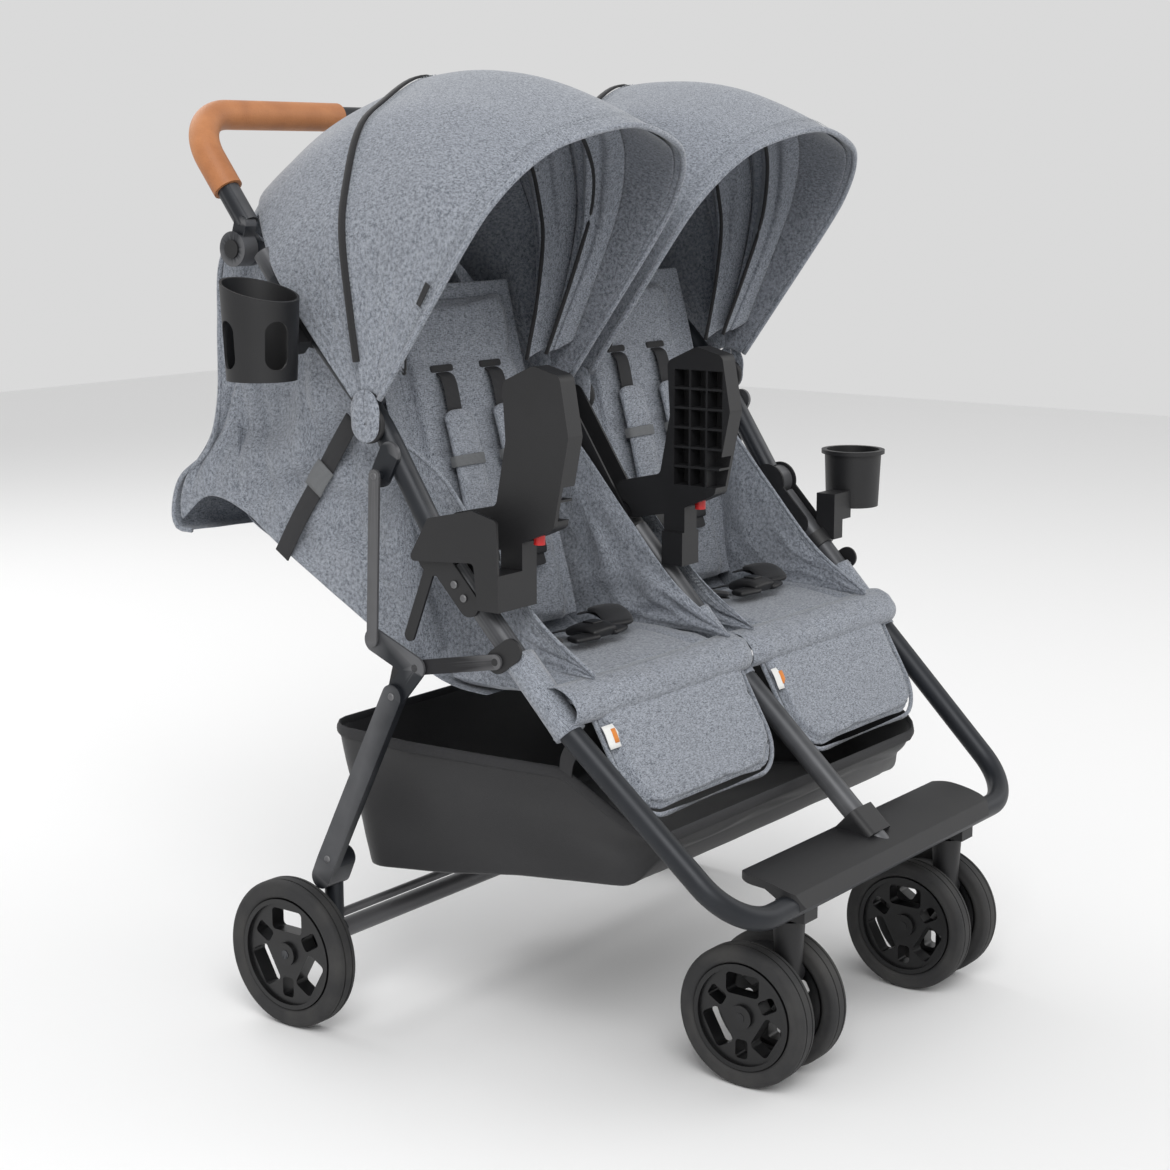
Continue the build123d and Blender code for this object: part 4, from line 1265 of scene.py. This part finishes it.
# ------------------------------------------------------------------ harness
BACK_OUT = (0, -math.sin(BACK_ANGLE), math.cos(BACK_ANGLE))
WAIST_STRAP = (
    (0.088, -0.012, 0.4420), (0.090, -0.034, 0.4460), (0.078, -0.066, 0.4420),
    (0.050, -0.092, 0.4400),
)
WAIST_PAD = (
    (0.092, -0.030, 0.4495), (0.086, -0.052, 0.4520), (0.070, -0.076, 0.4480),
    (0.052, -0.092, 0.4440),
)
WAIST_PRONG = ((0.044, -0.098, 0.4440), (0.026, -0.104, 0.4450), (0.012, -0.106, 0.4450))


def soft_bar(name, line, width, thickness, material, up, taper=0.35):
    """Padded strap with rounded, thinner ends."""
    line = smooth_line(line, 8)
    piece = sweep_along(name, line, strap_section(width, thickness), material, up=up)
    at = corners_of(piece.data)
    ring = 8
    for k in range(len(line)):
        t = k / (len(line) - 1)
        scale = 1 - (1 - taper) * max(0.0, abs(2 * t - 1) * 6 - 5) ** 2
        block = at[k * ring:(k + 1) * ring]
        block[:] = line[k] + (block - line[k]) * scale
    move_corners(piece.data, at)
    smooth = piece.modifiers.new("smooth", "SUBSURF")
    smooth.levels = smooth.render_levels = 2
    keep_shape(piece)
    return piece


for name, side in SIDES:
    upper, lower = [], []
    for hand in (-1, 1):
        label = "in" if hand == side * -1 else "out"
        strap = [on_back(side, hand * 0.042, up, out) for up, out in
                 ((0.305, 0.004), (0.292, 0.012), (0.24, 0.0105), (0.16, 0.0100), (0.11, 0.012), (0.075, 0.016))]
        upper.append(
            soft_bar(f"{name}_{label}_shoulder_strap", strap, 0.024, 0.0018, WEBBING, BACK_OUT, 0.9)
        )
        pad = [on_back(side, hand * 0.042, up, out) for up, out in
               ((0.262, 0.0145), (0.23, 0.0160), (0.18, 0.0160), (0.135, 0.0150))]
        upper.append(
            soft_bar(f"{name}_{label}_shoulder_pad", pad, 0.046, 0.0085, CLOTH, BACK_OUT, 0.5)
        )
        band = [on_back(side, hand * 0.042 + a, 0.205, out) for a, out in
                ((-0.0255, 0.0120), (-0.022, 0.0200), (0, 0.0222), (0.022, 0.0200), (0.0255, 0.0120))]
        upper.append(
            soft_bar(f"{name}_{label}_pad_loop", band, 0.012, 0.0016, GREY_WEBBING, BACK_OUT, 0.9)
        )
        slider = [
            on_back(side, hand * 0.042 + a, 0.098, 0.016)
            for a in (-0.016, -0.006, 0.006, 0.016)
        ]
        upper.append(
            soft_bar(f"{name}_{label}_strap_slider", slider, 0.020, 0.0048, PLASTIC, BACK_OUT, 0.8)
        )
        slot_line = [
            on_back(side, hand * 0.042 + a, 0.309, 0.0050)
            for a in (-0.019, -0.006, 0.006, 0.019)
        ]
        upper.append(
            soft_bar(f"{name}_{label}_strap_slot", slot_line, 0.008, 0.0030, PIPING, BACK_OUT, 0.7)
        )
        x = side * SEAT_X
        waist = [(x + hand * a, y, z) for a, y, z in WAIST_STRAP]
        lower.append(
            soft_bar(
                f"{name}_{label}_waist_strap", waist, 0.024, 0.0022, WEBBING, (0, 0.1, 1), 0.95,
            )
        )
        tip = [(x + hand * a, y, z) for a, y, z in WAIST_PAD]
        lower.append(
            soft_bar(f"{name}_{label}_waist_pad", tip, 0.034, 0.0075, NYLON, (0, 0.2, 1), 0.45)
        )
        prong = [(x + hand * a, y, z) for a, y, z in WAIST_PRONG]
        lower.append(
            soft_bar(f"{name}_{label}_waist_prong", prong, 0.022, 0.0072, PLASTIC, (0, 0, 1), 0.8)
        )
    harness = join_pieces(f"{name}_shoulder_harness", upper)
    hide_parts(f"{name}_harness")
    attach(harness, f"{name}_seat_back")

    buckle = [
        (side * SEAT_X, y, z)
        for y, z in ((-0.070, 0.4440), (-0.084, 0.4500), (-0.100, 0.4510), (-0.114, 0.4470))
    ]
    lower.append(soft_bar(f"{name}_buckle_body", buckle, 0.042, 0.0120, PLASTIC, (0, 0, 1), 0.72))
    button = [(side * SEAT_X + a, -0.094, 0.4570) for a in (-0.009, -0.003, 0.003, 0.009)]
    lower.append(soft_bar(f"{name}_buckle_button", button, 0.016, 0.0030, RIM, (0, 0, 1), 0.7))
    crotch = [
        (side * SEAT_X, y, z)
        for y, z in ((-0.036, 0.4360), (-0.048, 0.4400), (-0.062, 0.4440), (-0.080, 0.4480))
    ]
    lower.append(
        soft_bar(f"{name}_crotch_strap", crotch, 0.026, 0.0022, WEBBING, (0, 0.2, 1), 0.95)
    )
    lap = join_pieces(f"{name}_lap_harness", lower)
    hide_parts("crotch_buckles")
    attach(lap, "front_frame")


# ------------------------------------------------------------------ recline straps, tube sleeves and rivets
SLEEVE_R, HEM_R = 0.0152, 0.0157
SLEEVE_RUN = ((-0.118, 0.448), (-0.150, 0.4145), (-0.170, 0.3935), (-0.184, 0.3780))
SLEEVE_EDGE = (
    (0.006, 0.0150), (0.016, 0.0115), (0.0205, 0.004), (0.0205, -0.004), (0.016, -0.0115),
    (0.006, -0.0150),
)
for name, side in SIDES:
    x = side * 0.3082
    strap = sweep_along(
        f"{name}_recline_strap",
        smooth_line(
            (
                (side * 0.3075, 0.118, 0.676), (x, 0.140, 0.645), (x, 0.168, 0.605),
                (x, 0.200, 0.560), (side * 0.3075, 0.228, 0.517),
            ),
            6,
        ),
        strap_section(0.022, 0.0018), WEBBING, up=(side, 0, 0))
    loop = sweep_along(
        f"{name}_recline_loop",
        smooth_line(
            (
                (side * 0.3100, 0.156, 0.622), (side * 0.3112, 0.166, 0.609),
                (side * 0.3100, 0.176, 0.595),
            ),
            5,
        ),
        strap_section(0.027, 0.0018), GREY_WEBBING, up=(side, 0, 0))
    pair = join_pieces(f"{name}_recline_webbing", [strap, loop])
    hang_between_frames(pair)

    sleeve_line = smooth_line([(side * FRAME_X, y, z) for y, z in SLEEVE_RUN], 8)
    half_turn = np.linspace(-math.pi / 2, math.pi / 2, 9)
    section = [(-side * SLEEVE_R * math.cos(t), SLEEVE_R * math.sin(t)) for t in half_turn]
    section += [(side * a, b) for a, b in SLEEVE_EDGE]
    sleeve = sweep_along(f"{name}_tube_sleeve", sleeve_line, section, CLOTH, up=(0, -0.75, 0.66))
    attach(sleeve, "front_frame")
    rows = []
    for y, z in ((-0.1215, 0.4446), (-0.1805, 0.3818)):
        row = []
        for t in np.linspace(-1.2, 1.5, 14):
            rise = HEM_R * 0.70 * math.sin(t)
            row.append((side * (FRAME_X + HEM_R * math.cos(t)), y - rise, z + rise))
        rows.append(row)
    stitches(f"{name}_sleeve_stitches", rows, "front_frame", pitch=0.004)

    # stitched hems of the side wall along the tube; a hem line along the lower edge is worked out but gets no
    # stitches
    hems = []
    for line, drop in ((WALL_TOP[:5], -0.006), (WALL_TOP[:5], -0.010), (WALL_LOW[:6], 0.006)):
        hems.append(
            [(side * (wall_reach(y) + 0.0004), y, z + drop) for y, z in smooth_line(line, 8)[4:-2]]
        )
    rows = []
    for line in hems[:2]:
        rows.append([p for p in line if p[1] < 0.010])
        rows.append(
            [(side * (wall_reach(p[1]) - 0.0023), p[1], p[2]) for p in line if p[1] < 0.010]
        )
        rows += [[(side * across, p[1], p[2]) for p in line] for across in (0.0230, 0.0256)]
    stitches(f"{name}_wall_stitches", rows, "front_frame", pitch=0.0048)
    edge = [
        (side * (wall_reach(y) - 0.0010), y, z + 0.001)
        for y, z in smooth_line(WALL_TOP[:5], 8)
    ]
    piping = sweep_along(f"{name}_wall_piping", edge, round_section(0.0022, 8), CLOTH, up=(1, 0, 0))
    hang_between_frames(piping)

    toward = np.array([KNEE[0] - HUB[0], KNEE[1] - HUB[1]])
    toward = toward / np.linalg.norm(toward)
    places = []
    for reach in (0.040, 0.058):
        places.append(
            ((side * 0.3424, HUB[0] + toward[0] * reach, HUB[1] + toward[1] * reach), (side, 0, 0))
        )
    places.append(((side * 0.3440, *HUB), (side, 0, 0)))
    rivets(f"{name}_frame_rivets", places, "front_frame")
    rivets(f"{name}_link_rivets", [((side * 0.3516, 0.050, 0.625), (side, 0, 0))], "upper_frame")
    places = [((side * 0.3527, y, z), (side, 0, 0)) for y, z in ((0.030, 0.392), (0.127, 0.195))]
    rivets(f"{name}_leg_rivets", places, "rear_legs")


# cloth sleeve that joins the two seats over the centre tube
middle_line = smooth_line(
    ((0, -0.122, 0.4438), (0, -0.150, 0.4145), (0, -0.170, 0.3935), (0, -0.186, 0.3760)), 8,
)
middle_section = [(0.0150 * math.cos(t), 0.0152 * math.sin(t)) for t in np.linspace(0, math.pi, 9)]
middle_section += [
    (-0.0225, -0.004), (-0.0200, -0.0140), (-0.008, -0.0150), (0.008, -0.0150), (0.0200, -0.0140),
    (0.0225, -0.004),
]
middle_sleeve = sweep_along(
    "centre_tube_sleeve", middle_line, middle_section, CLOTH, up=(0, -0.75, 0.66),
)
attach(middle_sleeve, "front_frame")

# ------------------------------------------------------------------ floor, light and camera
def studio():
    floor = add_mesh(
        "studio_floor", [(-6, -6, 0), (6, -6, 0), (6, 6, 0), (-6, 6, 0)], [(0, 1, 2, 3)], None,
    )
    f = Finish("pale_floor")
    floor.data.materials[0] = f.surface(
        Base_Color=(0.86, 0.86, 0.86), Roughness=f.noise(3) * 0.1 + 0.7,
    )
    floor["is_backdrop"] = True
    world = bpy.data.worlds.new("studio")
    world.use_nodes = True
    world.node_tree.nodes["Background"].inputs[0].default_value = (1, 1, 1, 1)
    world.node_tree.nodes["Background"].inputs[1].default_value = 0.70
    bpy.context.scene.world = world
    for name, place, size, power in (
        ("key_light", (-2.6, -2.2, 3.4), 2.4, 105),
        ("fill_light", (2.8, -2.4, 2.2), 2.6, 24),
        ("back_light", (0.5, 3.0, 2.8), 2.4, 45),
    ):
        light = bpy.data.lights.new(name, "AREA")
        light.size, light.energy = size, power
        lamp = bpy.data.objects.new(name, light)
        bpy.context.scene.collection.objects.link(lamp)
        lamp.location = place
        lamp.rotation_mode = "QUATERNION"
        lamp.rotation_quaternion = (Vector((0, 0, 0.5)) - Vector(place)).to_track_quat("-Z", "Y")
    eye = bpy.data.cameras.new("camera")
    eye.lens = 68.08
    eye.sensor_width = 36
    camera = bpy.data.objects.new("camera", eye)
    bpy.context.scene.collection.objects.link(camera)
    camera.location = (-2.0558, -1.4849, 0.9453)
    camera.rotation_euler = (math.radians(90 - 10.8), 0, math.radians(-53.5))
    bpy.context.scene.camera = camera
    bpy.context.scene.view_settings.view_transform = "Standard"


studio()

# ------------------------------------------------------------------ sizes worked out
low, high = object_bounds()
